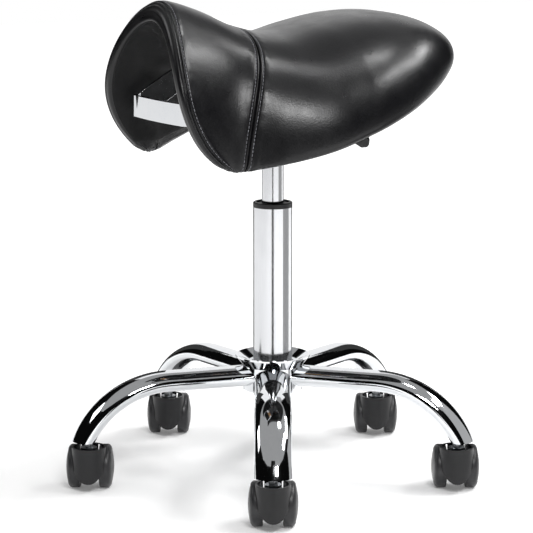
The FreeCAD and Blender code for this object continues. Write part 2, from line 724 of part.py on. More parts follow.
def lever_points(side, y, inner_height):
    """Points of a lever's cranked rod, from beside its pivot to inside its grip."""
    slope = math.radians(GRIP_SLOPE)
    neck_out = LEVER_TIP_OUT - GRIP_LENGTH * math.cos(slope)
    neck_height = LEVER_TIP_HEIGHT + GRIP_LENGTH * math.sin(slope)
    inside = GRIP_BORE_DEPTH
    points = [(LEVER_ROD_START, inner_height), (LEVER_TURN_OUT, inner_height),
              (neck_out - LEVER_NECK * math.cos(slope), neck_height + LEVER_NECK * math.sin(slope)),
              (neck_out + inside * math.cos(slope), neck_height - inside * math.sin(slope))]
    return [FreeCAD.Vector(side * out, y, height) for out, height in points]


def build_grip(side, y):
    """Moulded grip: a rounded bar that narrows a little towards the rod, with its bore."""
    half_width = GRIP_WIDTH / 2
    half_height = GRIP_HEIGHT / 2

    def outline(out, draft):
        w = half_width - draft
        h = half_height - draft
        corner = GRIP_CORNER
        rows = []
        for turn in (45, 135, 225, 315):
            angle = math.radians(turn)
            cy = math.copysign(w - corner, math.cos(angle))
            cz = math.copysign(h - corner, math.sin(angle))
            arc = [FreeCAD.Vector(out, cy + corner * math.cos(math.radians(turn + step)),
                                  cz + corner * math.sin(math.radians(turn + step)))
                   for step in (-45, 0, 45)]
            rows.append(arc)
        edges = []
        for i, arc in enumerate(rows):
            edges.append(Part.Arc(arc[0], arc[1], arc[2]).toShape())
            edges.append(Part.LineSegment(arc[2], rows[(i + 1) % 4][0]).toShape())
        return Part.Wire(edges)

    grip = Part.makeLoft([outline(0, GRIP_DRAFT), outline(GRIP_LENGTH - GRIP_NOSE, 0)], True, True)
    nose = Part.makeLoft([outline(GRIP_LENGTH - GRIP_NOSE, 0),
                          outline(GRIP_LENGTH - GRIP_NOSE / 3, GRIP_NOSE / 4),
                          outline(GRIP_LENGTH, GRIP_NOSE)], True, False)
    grip = grip.fuse(nose).removeSplitter()
    bore = Part.makeCylinder(LEVER_ROD / 2, GRIP_BORE_DEPTH, FreeCAD.Vector(0, 0, 0), LEFTWARD)
    grip = grip.cut(bore)
    grip.rotate(FreeCAD.Vector(0, 0, 0), BACKWARD, GRIP_SLOPE)
    slope = math.radians(GRIP_SLOPE)
    grip.translate(FreeCAD.Vector(LEVER_TIP_OUT - GRIP_LENGTH * math.cos(slope), y,
                                  LEVER_TIP_HEIGHT + GRIP_LENGTH * math.sin(slope)))
    if side < 0:
        grip = grip.mirror(FreeCAD.Vector(0, 0, 0), LEFTWARD)
    return grip


def lever_barrel(side, y, height):
    """Eye of a lever that turns on its pivot pin."""
    length = LUG_GAP - 2 * SIDE_PLAY
    return along_y(LEVER_BARREL / 2, side * LEVER_PIVOT_OUT, y, height, length)


def build_lever(side, y, height, arm_to):
    """Lever in one piece: flat inner arm, eye round the pivot pin and cranked outer rod."""
    half = LEVER_ARM_WIDTH / 2
    x0, x1 = sorted((side * arm_to, side * (LEVER_ROD_START + LEVER_ROD)))
    lever = block(x0, x1, y - half, y + half,
                  height - LEVER_ARM_THICKNESS / 2, height + LEVER_ARM_THICKNESS / 2)
    lever = lever.fuse(lever_barrel(side, y, height))
    rod = bent_rod(lever_points(side, y, height), LEVER_ROD / 2, LEVER_BEND)
    lever = lever.fuse(rod)
    hole = LEVER_PIVOT_DIAMETER / 2 + RUNNING_FIT
    return lever.cut(along_y(hole, side * LEVER_PIVOT_OUT, y, height, LUG_GAP))


def lever_pin(side, y, height):
    """Pivot pin pressed into a pair of lugs."""
    return along_y(LEVER_PIVOT_DIAMETER / 2, side * LEVER_PIVOT_OUT, y, height,
                   LUG_GAP + 2 * LUG_THICKNESS)


# Handle

def handle_plan(inset):
    """Outline of the handle seen from above, moved inwards by inset."""
    half = HANDLE_HALF_WIDTH - inset
    reach = HANDLE_REACH - inset
    corner = HANDLE_CORNER_RADIUS - inset
    shoulder = reach - HANDLE_BOW
    turn = corner / math.sqrt(2)
    back = HANDLE_FOOT_BACK
    height = HANDLE_LOW

    def p(forward, left):
        return at(forward, left, height)

    edges = [Part.LineSegment(p(back, -half), p(shoulder - corner, -half)).toShape(),
             Part.Arc(p(shoulder - corner, -half),
                      p(shoulder - corner + turn, -half + corner - turn),
                      p(shoulder, -half + corner)).toShape(),
             Part.Arc(p(shoulder, -half + corner), p(reach, 0), p(shoulder, half - corner)).toShape(),
             Part.Arc(p(shoulder, half - corner),
                      p(shoulder - corner + turn, half - corner + turn),
                      p(shoulder - corner, half)).toShape(),
             Part.LineSegment(p(shoulder - corner, half), p(back, half)).toShape(),
             Part.LineSegment(p(back, half), p(back, -half)).toShape()]
    return Part.Face(Part.Wire(edges))


def side_profile(points, half):
    """Prism of a side-view outline of (forward, height) points, across the seat."""
    corners = [at(forward, -half, height) for forward, height in points]
    face = Part.Face(Part.makePolygon(corners + corners[:1]))
    return face.extrude(LEFTWARD * (2 * half))


def build_handle():
    """Chromed U-shaped band whose legs rise to two feet screwed under the mounting board."""
    tall = UP * (PLATE_TOP - HANDLE_LOW)
    band = handle_plan(0.0).extrude(tall).cut(handle_plan(HANDLE_THICKNESS).extrude(tall))
    outline = [(HANDLE_REACH, HANDLE_LOW), (HANDLE_REACH, HANDLE_HIGH),
               (HANDLE_RISE_FROM, HANDLE_HIGH), (HANDLE_FOOT_FRONT, PLATE_TOP),
               (HANDLE_FOOT_BACK, PLATE_TOP), (HANDLE_FOOT_BACK, PLATE_TOP - HANDLE_FOOT_DROP),
               (HANDLE_RISE_FROM - HANDLE_DEPTH, HANDLE_LOW)]
    band = band.common(side_profile(outline, HANDLE_HALF_WIDTH))
    for side in (1, -1):
        x0, x1 = sorted((side * HANDLE_FOOT_INNER, side * (HANDLE_HALF_WIDTH - HANDLE_THICKNESS)))
        foot = block(x0, x1, -HANDLE_FOOT_FRONT, -HANDLE_FOOT_BACK,
                     PLATE_TOP - HANDLE_THICKNESS, PLATE_TOP)
        band = band.fuse(foot)
    band = band.removeSplitter()
    for side in (1, -1):
        band = band.cut(upright(HANDLE_SCREW / 2, HANDLE_LOW, PLATE_TOP,
                                side * HANDLE_SCREW_OUT, -HANDLE_SCREW_FORWARD))
    return band


def build_handle_screws():
    """Two pan-head screws up through the handle's feet."""
    screws = []
    under = PLATE_TOP - HANDLE_THICKNESS
    for side in (1, -1):
        x = side * HANDLE_SCREW_OUT
        y = -HANDLE_SCREW_FORWARD
        head = upright(HANDLE_SCREW_HEAD / 2, under - HANDLE_SCREW_HEAD_HEIGHT, under, x, y)
        shank = upright(HANDLE_SCREW / 2, under, PLATE_TOP + HANDLE_SCREW_LENGTH, x, y)
        screws.append(head.fuse(shank))
    return group(screws)


# Gas column

def build_column_tube():
    """Outer tube with its tapered foot and its floor."""
    outer = COLUMN_DIAMETER / 2
    inner = outer - COLUMN_WALL
    foot = taper_radius(outer, COLUMN_TAPER_TOP - COLUMN_BOTTOM)
    floor = COLUMN_BOTTOM + COLUMN_FLOOR
    hole = ROD_DIAMETER / 2 + ROD_ROOM
    inner_foot = foot - COLUMN_WALL
    return turned([(hole, COLUMN_BOTTOM), (foot, COLUMN_BOTTOM), (outer, COLUMN_TAPER_TOP),
                   (outer, COLUMN_TOP), (inner, COLUMN_TOP), (inner, COLUMN_TAPER_TOP),
                   (inner_foot, floor), (hole, floor)])


def build_column_bushing():
    """Black guide bushing with its rim on top of the tube."""
    outer = COLUMN_DIAMETER / 2
    inner = CYLINDER_DIAMETER / 2 + RUNNING_FIT
    sleeve = outer - COLUMN_WALL
    top = COLUMN_TOP + BUSHING_RIM
    return turned([(inner, COLUMN_TOP - BUSHING_LENGTH), (sleeve, COLUMN_TOP - BUSHING_LENGTH),
                   (sleeve, COLUMN_TOP), (outer, COLUMN_TOP), (outer, top - BUSHING_LIP / 2),
                   (outer - BUSHING_LIP / 2, top), (outer - 2 * BUSHING_LIP, top),
                   (outer - 2 * BUSHING_LIP, top - BUSHING_LIP),
                   (inner, top - BUSHING_LIP)])


def thrust_floor():
    """Height of the floor that the thrust bearing rests on."""
    return COLUMN_BOTTOM + COLUMN_FLOOR


def washer(inner, outer, low, thickness):
    """Flat ring."""
    return turned([(inner, low), (outer, low), (outer, low + thickness), (inner, low + thickness)])


def thrust_balls():
    """Ring of balls between the two thrust washers."""
    height = thrust_floor() + THRUST_WASHER + BALL_DIAMETER / 2
    balls = []
    for step in range(BALL_COUNT):
        turn = 2 * math.pi * step / BALL_COUNT
        centre = FreeCAD.Vector(ball_circle() * math.cos(turn), ball_circle() * math.sin(turn), height)
        balls.append(Part.makeSphere(BALL_DIAMETER / 2, centre))
    return balls


def ball_circle():
    """Radius of the circle on which the balls run."""
    return (ROD_DIAMETER / 2 + ROD_ROOM + THRUST_DIAMETER / 2) / 2


def ball_cage():
    """Cage that keeps the balls apart."""
    low = thrust_floor() + THRUST_WASHER + (BALL_DIAMETER - CAGE_THICKNESS) / 2
    cage = washer(ball_circle() - CAGE_HALF_WIDTH, ball_circle() + CAGE_HALF_WIDTH, low, CAGE_THICKNESS)
    for ball in thrust_balls():
        centre = ball.CenterOfMass
        cage = cage.cut(upright(BALL_DIAMETER / 2 + RUNNING_FIT, low, low + CAGE_THICKNESS,
                                centre.x, centre.y))
    return cage


def rod_flange_low():
    """Height of the underside of the rod's flange, on the upper thrust washer."""
    return thrust_floor() + 2 * THRUST_WASHER + BALL_DIAMETER + RUNNING_FIT


def build_piston_rod():
    """Piston rod with the flange that stands on the thrust bearing and its clip groove."""
    radius = ROD_DIAMETER / 2
    tip = COLUMN_BOTTOM - ROD_TIP
    groove_low = COLUMN_BOTTOM - LAYER_GAP - CLIP_THICKNESS
    groove_high = COLUMN_BOTTOM - LAYER_GAP
    flange = rod_flange_low()
    flange_radius = THRUST_DIAMETER / 2
    return turned([(0, tip), (radius, tip), (radius, groove_low), (radius - CLIP_GROOVE, groove_low),
                   (radius - CLIP_GROOVE, groove_high), (radius, groove_high), (radius, flange),
                   (flange_radius, flange), (flange_radius, flange + ROD_FLANGE),
                   (radius, flange + ROD_FLANGE), (radius, PISTON_BOTTOM), (0, PISTON_BOTTOM)])


def build_rod_clip():
    """Open retaining ring under the tube's floor."""
    low = COLUMN_BOTTOM - LAYER_GAP - CLIP_THICKNESS
    ring = washer(ROD_DIAMETER / 2 - CLIP_GROOVE, CLIP_DIAMETER / 2, low, CLIP_THICKNESS)
    mouth = ROD_DIAMETER / 2 - CLIP_GROOVE
    return ring.cut(block(0, CLIP_DIAMETER, -mouth, mouth, low, low + CLIP_THICKNESS))


def build_gas_cylinder():
    """Pressure cylinder, open below, with its tapered head."""
    wide = CYLINDER_DIAMETER / 2
    narrow = taper_radius(wide, CYLINDER_TAPER_LENGTH)
    inner = wide - CYLINDER_WALL
    inner_top = narrow - CYLINDER_WALL
    taper_top = HOUSING_BOTTOM + CYLINDER_TAPER_LENGTH
    return turned([(inner, CYLINDER_BOTTOM), (wide, CYLINDER_BOTTOM), (wide, HOUSING_BOTTOM),
                   (narrow, taper_top), (narrow, CYLINDER_TOP), (inner_top, CYLINDER_TOP),
                   (inner_top, CYLINDER_TOP - VALVE_LENGTH), (inner, CYLINDER_TOP - VALVE_LENGTH)])


def build_gas_valve():
    """Valve body in the cylinder's head, with the release pin's bore."""
    narrow = taper_radius(CYLINDER_DIAMETER / 2, CYLINDER_TAPER_LENGTH)
    radius = narrow - CYLINDER_WALL
    low = CYLINDER_TOP - VALVE_LENGTH
    bore = PIN_DIAMETER / 2 + RUNNING_FIT
    bore_low = CYLINDER_TOP + PIN_STANDS_PROUD - PIN_LENGTH - PIN_TRAVEL - LAYER_GAP
    return turned([(0, low), (radius, low), (radius, CYLINDER_TOP), (bore, CYLINDER_TOP),
                   (bore, bore_low), (0, bore_low)])


# Hub, legs and caster sockets

def build_hub():
    """Turned hub whose tapered bore takes the column's foot."""
    radius = HUB_DIAMETER / 2
    outer = COLUMN_DIAMETER / 2
    low_bore = taper_radius(outer, COLUMN_TAPER_TOP - HUB_BOTTOM)
    top_bore = taper_radius(outer, COLUMN_TAPER_TOP - HUB_TOP)
    return turned([(low_bore, HUB_BOTTOM), (radius, HUB_BOTTOM), (radius, HUB_TOP),
                   (top_bore, HUB_TOP)])


def build_hub_collar():
    """Flared collar that stands dished on the hub, round the tube."""
    root = HUB_DIAMETER / 2
    rim = COLLAR_DIAMETER / 2
    top = HUB_TOP + COLLAR_HEIGHT
    bore = COLUMN_DIAMETER / 2 + COLLAR_BORE_GAP
    return turned([(bore, HUB_TOP), (root, HUB_TOP), (rim, top - COLLAR_RIM), (rim, top),
                   (rim - COLLAR_RIM, top + COLLAR_RIM / 4), (bore + COLLAR_WALL, HUB_TOP + COLLAR_WALL),
                   (bore, HUB_TOP + COLLAR_WALL)])


def leg_turn(number):
    """Direction of a leg, in degrees from +X. The first leg lies under the sitter's front left."""
    return -SADDLE_HEADING + 360.0 / LEG_COUNT * number


def leg_tube(width, height):
    """Oval bar along the leg's path: level from the hub, then bent down to its end."""
    centre = FreeCAD.Vector(LEG_STRAIGHT_END, 0, LEG_AXIS_HEIGHT - LEG_BEND_RADIUS)
    start = FreeCAD.Vector(0, 0, LEG_AXIS_HEIGHT)
    bend_start = FreeCAD.Vector(LEG_STRAIGHT_END, 0, LEG_AXIS_HEIGHT)

    def on_bend(turn):
        angle = math.radians(90 - turn)
        return centre + FreeCAD.Vector(math.cos(angle), 0, math.sin(angle)) * LEG_BEND_RADIUS

    path = Part.Wire([Part.LineSegment(start, bend_start).toShape(),
                      Part.Arc(bend_start, on_bend(LEG_BEND_TURN / 2), on_bend(LEG_BEND_TURN)).toShape()])
    oval = Part.Ellipse(FreeCAD.Vector(0, 0, 0), width / 2, height / 2)
    profile = Part.Wire(oval.toShape())
    profile.rotate(FreeCAD.Vector(0, 0, 0), UP, 90)
    profile.rotate(FreeCAD.Vector(0, 0, 0), BACKWARD, 90)
    profile.translate(start)
    return path.makePipeShell([profile], True, True)


def leg_trim():
    """Space that a leg may fill: outside the hub and above its end."""
    far = STEM_CIRCLE_RADIUS + LEG_WIDTH
    room = block(0, far, -far, far, LEG_END_HEIGHT, HUB_TOP + COLLAR_HEIGHT)
    return room.cut(upright(HUB_DIAMETER / 2, 0, HUB_TOP + COLLAR_HEIGHT))


def socket_solid():
    """Vertical socket tube with the oval plate that closes the leg's end."""
    tube = upright(SOCKET_DIAMETER / 2, LEG_END_HEIGHT, LEG_END_HEIGHT + SOCKET_LENGTH,
                   STEM_CIRCLE_RADIUS)
    inside = leg_tube(LEG_WIDTH - 2 * LEG_WALL, LEG_HEIGHT - 2 * LEG_WALL)
    far = STEM_CIRCLE_RADIUS + LEG_WIDTH
    slab = block(0, far, -far, far, LEG_END_HEIGHT, LEG_END_HEIGHT + SOCKET_PLATE)
    solid = tube.fuse(inside.common(slab)).removeSplitter()
    return solid.cut(upright(STEM_DIAMETER / 2, LEG_END_HEIGHT, LEG_END_HEIGHT + SOCKET_LENGTH,
                             STEM_CIRCLE_RADIUS))


def build_leg():
    """One hollow leg, pointing along +X, notched for its socket."""
    leg = leg_tube(LEG_WIDTH, LEG_HEIGHT)
    leg = leg.cut(leg_tube(LEG_WIDTH - 2 * LEG_WALL, LEG_HEIGHT - 2 * LEG_WALL))
    leg = leg.common(leg_trim())
    return leg.cut(upright(SOCKET_DIAMETER / 2, LEG_END_HEIGHT, LEG_END_HEIGHT + SOCKET_LENGTH,
                           STEM_CIRCLE_RADIUS))


def turned_about_column(shape, degrees):
    """Copy of a shape turned about the column axis."""
    copy = shape.copy()
    copy.rotate(FreeCAD.Vector(0, 0, 0), UP, degrees)
    return copy


# Casters, each modelled with its stem on Z, its axle along X and its wheels behind at +Y

def web_half():
    """Half the thickness of the hood's web between the wheels."""
    return WHEEL_GAP / 2 - WEB_PLAY


def build_stem():
    """Swivel stem with its flange above the hood."""
    radius = STEM_DIAMETER / 2
    flange_low = HOOD_TOP - HOOD_CUP_DEPTH + STEM_FLANGE_LIFT
    flange = flange_low + STEM_FLANGE_THICKNESS
    top = LEG_END_HEIGHT + SOCKET_LENGTH
    wide = STEM_FLANGE_DIAMETER / 2
    return turned([(0, STEM_SEAT_HEIGHT), (radius, STEM_SEAT_HEIGHT), (radius, flange_low),
                   (wide, flange_low), (wide, flange), (radius, flange), (radius, top), (0, top)])


def wheel_space(side):
    """Room that one wheel needs beside the hood's web."""
    reach = WHEEL_GAP / 2 + TREAD_WIDTH + WHEEL_DOME + HOOD_DIAMETER
    x0 = web_half() if side > 0 else -reach
    length = reach - web_half()
    radius = WHEEL_DIAMETER / 2 + HOOD_WHEEL_ROOM
    return Part.makeCylinder(radius, length, FreeCAD.Vector(x0, CASTER_TRAIL, WHEEL_DIAMETER / 2),
                             LEFTWARD)


def hood_front_outline():
    """The hood seen from its front: straight sides that close in a round bottom."""
    half = HOOD_DIAMETER / 2
    shoulder = HOOD_TOP - HOOD_STRAIGHT
    drop = shoulder - HOOD_BOTTOM

    def rim(turn):
        angle = math.radians(turn)
        return FreeCAD.Vector(half * math.cos(angle), -FAR, shoulder - drop * math.sin(angle))

    top_right = FreeCAD.Vector(half, -FAR, HOOD_TOP)
    top_left = FreeCAD.Vector(-half, -FAR, HOOD_TOP)
    edges = [Part.Arc(rim(turn), rim(turn + HOOD_ARC / 2), rim(turn + HOOD_ARC)).toShape()
             for turn in range(0, 180, HOOD_ARC)]
    edges += [Part.LineSegment(rim(180), top_left).toShape(),
              Part.LineSegment(top_left, top_right).toShape(),
              Part.LineSegment(top_right, rim(0)).toShape()]
    return Part.Face(Part.Wire(edges)).extrude(BACKWARD * (2 * FAR))


def build_hood():
    """Caster hood: a round cup over the stem, an apron in front and a web between the wheels."""
    radius = HOOD_DIAMETER / 2
    cup = upright(radius, HOOD_BOTTOM, HOOD_TOP).common(hood_front_outline())
    for side in (1, -1):
        cup = cup.cut(wheel_space(side))
    boss = Part.makeCylinder(AXLE_BOSS_DIAMETER / 2, 2 * web_half(),
                             FreeCAD.Vector(-web_half(), CASTER_TRAIL, WHEEL_DIAMETER / 2), LEFTWARD)
    bridge = block(-web_half(), web_half(), 0, CASTER_TRAIL,
                   WHEEL_DIAMETER / 2 - AXLE_BOSS_DIAMETER / 2, WHEEL_DIAMETER / 2 + AXLE_BOSS_DIAMETER / 2)
    hood = cup.fuse(boss).fuse(bridge).removeSplitter()
    hood = hood.cut(upright(radius - HOOD_CUP_WALL, HOOD_TOP - HOOD_CUP_DEPTH, HOOD_TOP))
    hood = hood.cut(upright(STEM_DIAMETER / 2 + RUNNING_FIT, STEM_SEAT_HEIGHT - RUNNING_FIT, HOOD_TOP))
    axle = Part.makeCylinder(AXLE_DIAMETER / 2, 2 * web_half(),
                             FreeCAD.Vector(-web_half(), CASTER_TRAIL, WHEEL_DIAMETER / 2), LEFTWARD)
    return hood.cut(axle)


def axle_half():
    """Half the axle's length: it ends inside the wheels' outer faces."""
    return WHEEL_GAP / 2 + TREAD_WIDTH - SIDE_PLAY


def build_axle():
    """Steel axle of a caster's two wheels."""
    return Part.makeCylinder(AXLE_DIAMETER / 2, 2 * axle_half(),
                             FreeCAD.Vector(-axle_half(), CASTER_TRAIL, WHEEL_DIAMETER / 2), LEFTWARD)


def build_wheel(side):
    """Wheel with a rounded tread, a recessed inner face and a domed outer face."""
    radius = WHEEL_DIAMETER / 2
    inner = WHEEL_GAP / 2
    outer = inner + TREAD_WIDTH
    edge = WHEEL_EDGE
    bore = AXLE_DIAMETER / 2 + RUNNING_FIT
    recess = inner + WHEEL_RECESS_DEPTH
    hub = AXLE_BOSS_DIAMETER / 2
    ring = radius - WHEEL_RING

    def p(r, x):
        return FreeCAD.Vector(x, 0, r)

    dome_root = radius - edge
    dome_middle = dome_root * DOME_SHAPE
    edges = [Part.LineSegment(p(0, outer), p(0, outer + WHEEL_DOME)).toShape(),
             Part.Arc(p(0, outer + WHEEL_DOME), p(dome_middle, outer + WHEEL_DOME * DOME_SHOULDER),
                      p(dome_root, outer)).toShape(),
             Part.Arc(p(dome_root, outer),
                      p(dome_root + edge / math.sqrt(2), outer - edge + edge / math.sqrt(2)),
                      p(radius, outer - edge)).toShape(),
             Part.LineSegment(p(radius, outer - edge), p(radius, inner + edge / 2)).toShape(),
             Part.LineSegment(p(radius, inner + edge / 2), p(radius - edge / 2, inner)).toShape(),
             Part.LineSegment(p(radius - edge / 2, inner), p(ring, inner)).toShape(),
             Part.LineSegment(p(ring, inner), p(ring, recess)).toShape(),
             Part.LineSegment(p(ring, recess), p(hub, recess)).toShape(),
             Part.LineSegment(p(hub, recess), p(hub, inner)).toShape(),
             Part.LineSegment(p(hub, inner), p(bore, inner)).toShape(),
             Part.LineSegment(p(bore, inner), p(bore, outer)).toShape(),
             Part.LineSegment(p(bore, outer), p(0, outer)).toShape()]
    wheel = Part.Face(Part.Wire(edges)).revolve(FreeCAD.Vector(0, 0, 0), LEFTWARD, 360)
    wheel.translate(FreeCAD.Vector(0, CASTER_TRAIL, WHEEL_DIAMETER / 2))
    if side < 0:
        wheel = wheel.mirror(FreeCAD.Vector(0, 0, 0), LEFTWARD)
    return wheel


def stand_caster(shape, number):
    """Copy of a caster piece turned to its heading and put under its leg."""
    copy = shape.copy()
    copy.rotate(FreeCAD.Vector(0, 0, 0), UP, 90 - SADDLE_HEADING)
    turn = math.radians(leg_turn(number))
    copy.translate(FreeCAD.Vector(STEM_CIRCLE_RADIUS * math.cos(turn),
                                  STEM_CIRCLE_RADIUS * math.sin(turn), 0))
    return copy


# Sub-assemblies

def write_base():
    """Hub, collar, legs, sockets and swivel stems."""
    save("hub", build_hub())
    save("hub_collar", build_hub_collar())
    leg = build_leg()
    socket = socket_solid()
    stem = build_stem()
    for number in range(LEG_COUNT):
        save("leg_%d" % (number + 1), turned_about_column(leg, leg_turn(number)))
    save("caster_sockets", group(turned_about_column(socket, leg_turn(number))
                                 for number in range(LEG_COUNT)))
    save("caster_stems", group(stand_caster(stem, number) for number in range(LEG_COUNT)))


def write_casters():
    """Hood, axle and two wheels of every caster."""
    pieces = {"hood": build_hood(), "axle": build_axle(),
              "wheel_left": build_wheel(1), "wheel_right": build_wheel(-1)}
    for number in range(LEG_COUNT):
        for name, shape in pieces.items():
            save("caster_%d_%s" % (number + 1, name), stand_caster(shape, number))


def write_column():
    """Outer tube, bushing, thrust bearing, piston rod and gas cylinder."""
    save("column_tube", build_column_tube())
    save("column_bushing", build_column_bushing())
    hole = ROD_DIAMETER / 2 + ROD_ROOM
    floor = thrust_floor()
    lower_washer = washer(hole, THRUST_DIAMETER / 2, floor, THRUST_WASHER)
    save("thrust_bearing", group([lower_washer, ball_cage()] + thrust_balls()))
    upper = floor + THRUST_WASHER + BALL_DIAMETER + RUNNING_FIT
    save("thrust_washer_upper", washer(ROD_DIAMETER / 2, THRUST_DIAMETER / 2, upper, THRUST_WASHER))
    save("piston_rod", build_piston_rod())
    save("rod_clip", build_rod_clip())
    buffer_low = rod_flange_low() + ROD_FLANGE
    buffer_top = CYLINDER_BOTTOM - LIFT_DOWN - LAYER_GAP
    save("rubber_buffer", washer(ROD_DIAMETER / 2, BUFFER_DIAMETER / 2, buffer_low,
                                 buffer_top - buffer_low))
    inner = CYLINDER_DIAMETER / 2 - CYLINDER_WALL
    save("piston", upright(inner - RUNNING_FIT, PISTON_BOTTOM, PISTON_BOTTOM + PISTON_LENGTH))
    save("gas_cylinder", build_gas_cylinder())
    save("rod_seal", washer(ROD_DIAMETER / 2 + RUNNING_FIT, inner, CYLINDER_BOTTOM, SEAL_LENGTH))
    save("gas_valve", build_gas_valve())
    pin_top = CYLINDER_TOP + PIN_STANDS_PROUD
    save("release_pin", upright(PIN_DIAMETER / 2, pin_top - PIN_LENGTH, pin_top))


def write_mechanism():
    """Housing, pins and the two levers with their grips."""
    save("mechanism_housing", build_mechanism_housing())
    save("tilt_pivot_pin", cross_pin(PIVOT_DIAMETER, PIVOT_FORWARD, PIVOT_HEIGHT))
    save("tilt_clamp_rod", cross_pin(CLAMP_DIAMETER, -CLAMP_BACK, PIVOT_HEIGHT))
    save("lever_pins", group([lever_pin(-1, 0.0, height_pivot()),
                              lever_pin(1, TILT_LEVER_BACK, TILT_LEVER_HEIGHT)]))
    save("height_lever", build_lever(-1, 0.0, height_pivot(), -PIN_DIAMETER))
    save("height_lever_grip", build_grip(-1, 0.0))
    save("tilt_lever", build_lever(1, TILT_LEVER_BACK, TILT_LEVER_HEIGHT, TILT_ARM_TO))
    save("tilt_lever_grip", build_grip(1, TILT_LEVER_BACK))


def write_seat():
    """Seat plate, board, fasteners, handle, shell and the soft layers."""
    save("seat_plate", build_seat_plate())
    save("mounting_board", build_mounting_board())
    save("tee_nuts", build_tee_nuts())
    save("seat_bolts", build_seat_bolts())
    save("pommel_handle", build_handle())
    save("handle_screws", build_handle_screws())
    save("seat_shell", build_seat_shell())
    build_seat_soft_parts()


def main():
    """Write every node of the stool."""
    os.makedirs("parts", exist_ok=True)
    write_base()
    write_casters()
    write_column()
    write_mechanism()
    write_seat()


if __name__ == "__main__":
    main()
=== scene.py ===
"""Saddle stool: leatherette saddle, chrome pommel handle, gas column and chrome base on casters."""

import json
import logging
import math
from dataclasses import dataclass
from enum import Enum

import bpy
import numpy as np
from mathutils import Matrix, Vector


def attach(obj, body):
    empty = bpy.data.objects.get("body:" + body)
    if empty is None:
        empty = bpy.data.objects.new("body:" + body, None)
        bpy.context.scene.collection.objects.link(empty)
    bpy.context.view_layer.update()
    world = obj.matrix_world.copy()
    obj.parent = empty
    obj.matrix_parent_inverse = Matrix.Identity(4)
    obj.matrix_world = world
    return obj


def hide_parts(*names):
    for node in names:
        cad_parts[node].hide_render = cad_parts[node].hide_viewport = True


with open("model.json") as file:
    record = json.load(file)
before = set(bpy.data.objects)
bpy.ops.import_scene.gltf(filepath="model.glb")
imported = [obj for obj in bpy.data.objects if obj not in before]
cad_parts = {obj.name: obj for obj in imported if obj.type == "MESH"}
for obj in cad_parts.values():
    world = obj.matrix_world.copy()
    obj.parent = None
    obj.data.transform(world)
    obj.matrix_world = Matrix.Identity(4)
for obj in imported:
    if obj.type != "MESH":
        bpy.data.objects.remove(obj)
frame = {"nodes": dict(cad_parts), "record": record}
log = logging.getLogger("saddle_stool")

MM = 0.001                     # millimetres to metres
UP = Vector((0, 0, 1))
LEG_COUNT = 5
HEADING = math.radians(31.0)   # the camera's and the casters' heading against the saddle
MERGE = 0.02 * MM              # points closer than this are one
FLAT = math.radians(0.8)       # faces that turn less than this are one


class Grain(Enum):
    """How a surface was made, which sets its fine pattern."""

    PEBBLED = "embossed leather grain"
    PLATED = "polished and plated"
    DRAWN = "ground lengthways and plated"
    MOULDED = "moulded with a fine spark texture"
    WOVEN = "thread or woven backing"
    SAWN = "rotary cut veneer"


# Materials

def linear(code: str) -> tuple[float, float, float, float]:
    """Turn an sRGB hex colour into linear light.

    Args:
        code: Six hex digits after a hash sign.

    Returns:
        Red, green, blue and an alpha of 1.
    """
    shares = [int(code[i:i + 2], 16) / 255 for i in (1, 3, 5)]
    light = [s / 12.92 if s <= 0.04045 else ((s + 0.055) / 1.055) ** 2.4 for s in shares]
    return light[0], light[1], light[2], 1.0


def add_node(tree: bpy.types.NodeTree, kind: str, settings: dict | None = None,
             inputs: dict | None = None) -> bpy.types.Node:
    """Add one shader node with its settings and links.

    Args:
        tree: Node tree that takes it.
        kind: Blender's node type.
        settings: Properties of the node.
        inputs: Values or output sockets for its inputs, by name or number.

    Returns:
        The new node.
    """
    node = tree.nodes.new(kind)
    for name, value in (settings or {}).items():
        setattr(node, name, value)
    for name, value in (inputs or {}).items():
        if isinstance(value, bpy.types.NodeSocket):
            tree.links.new(value, node.inputs[name])
        else:
            node.inputs[name].default_value = value
    return node


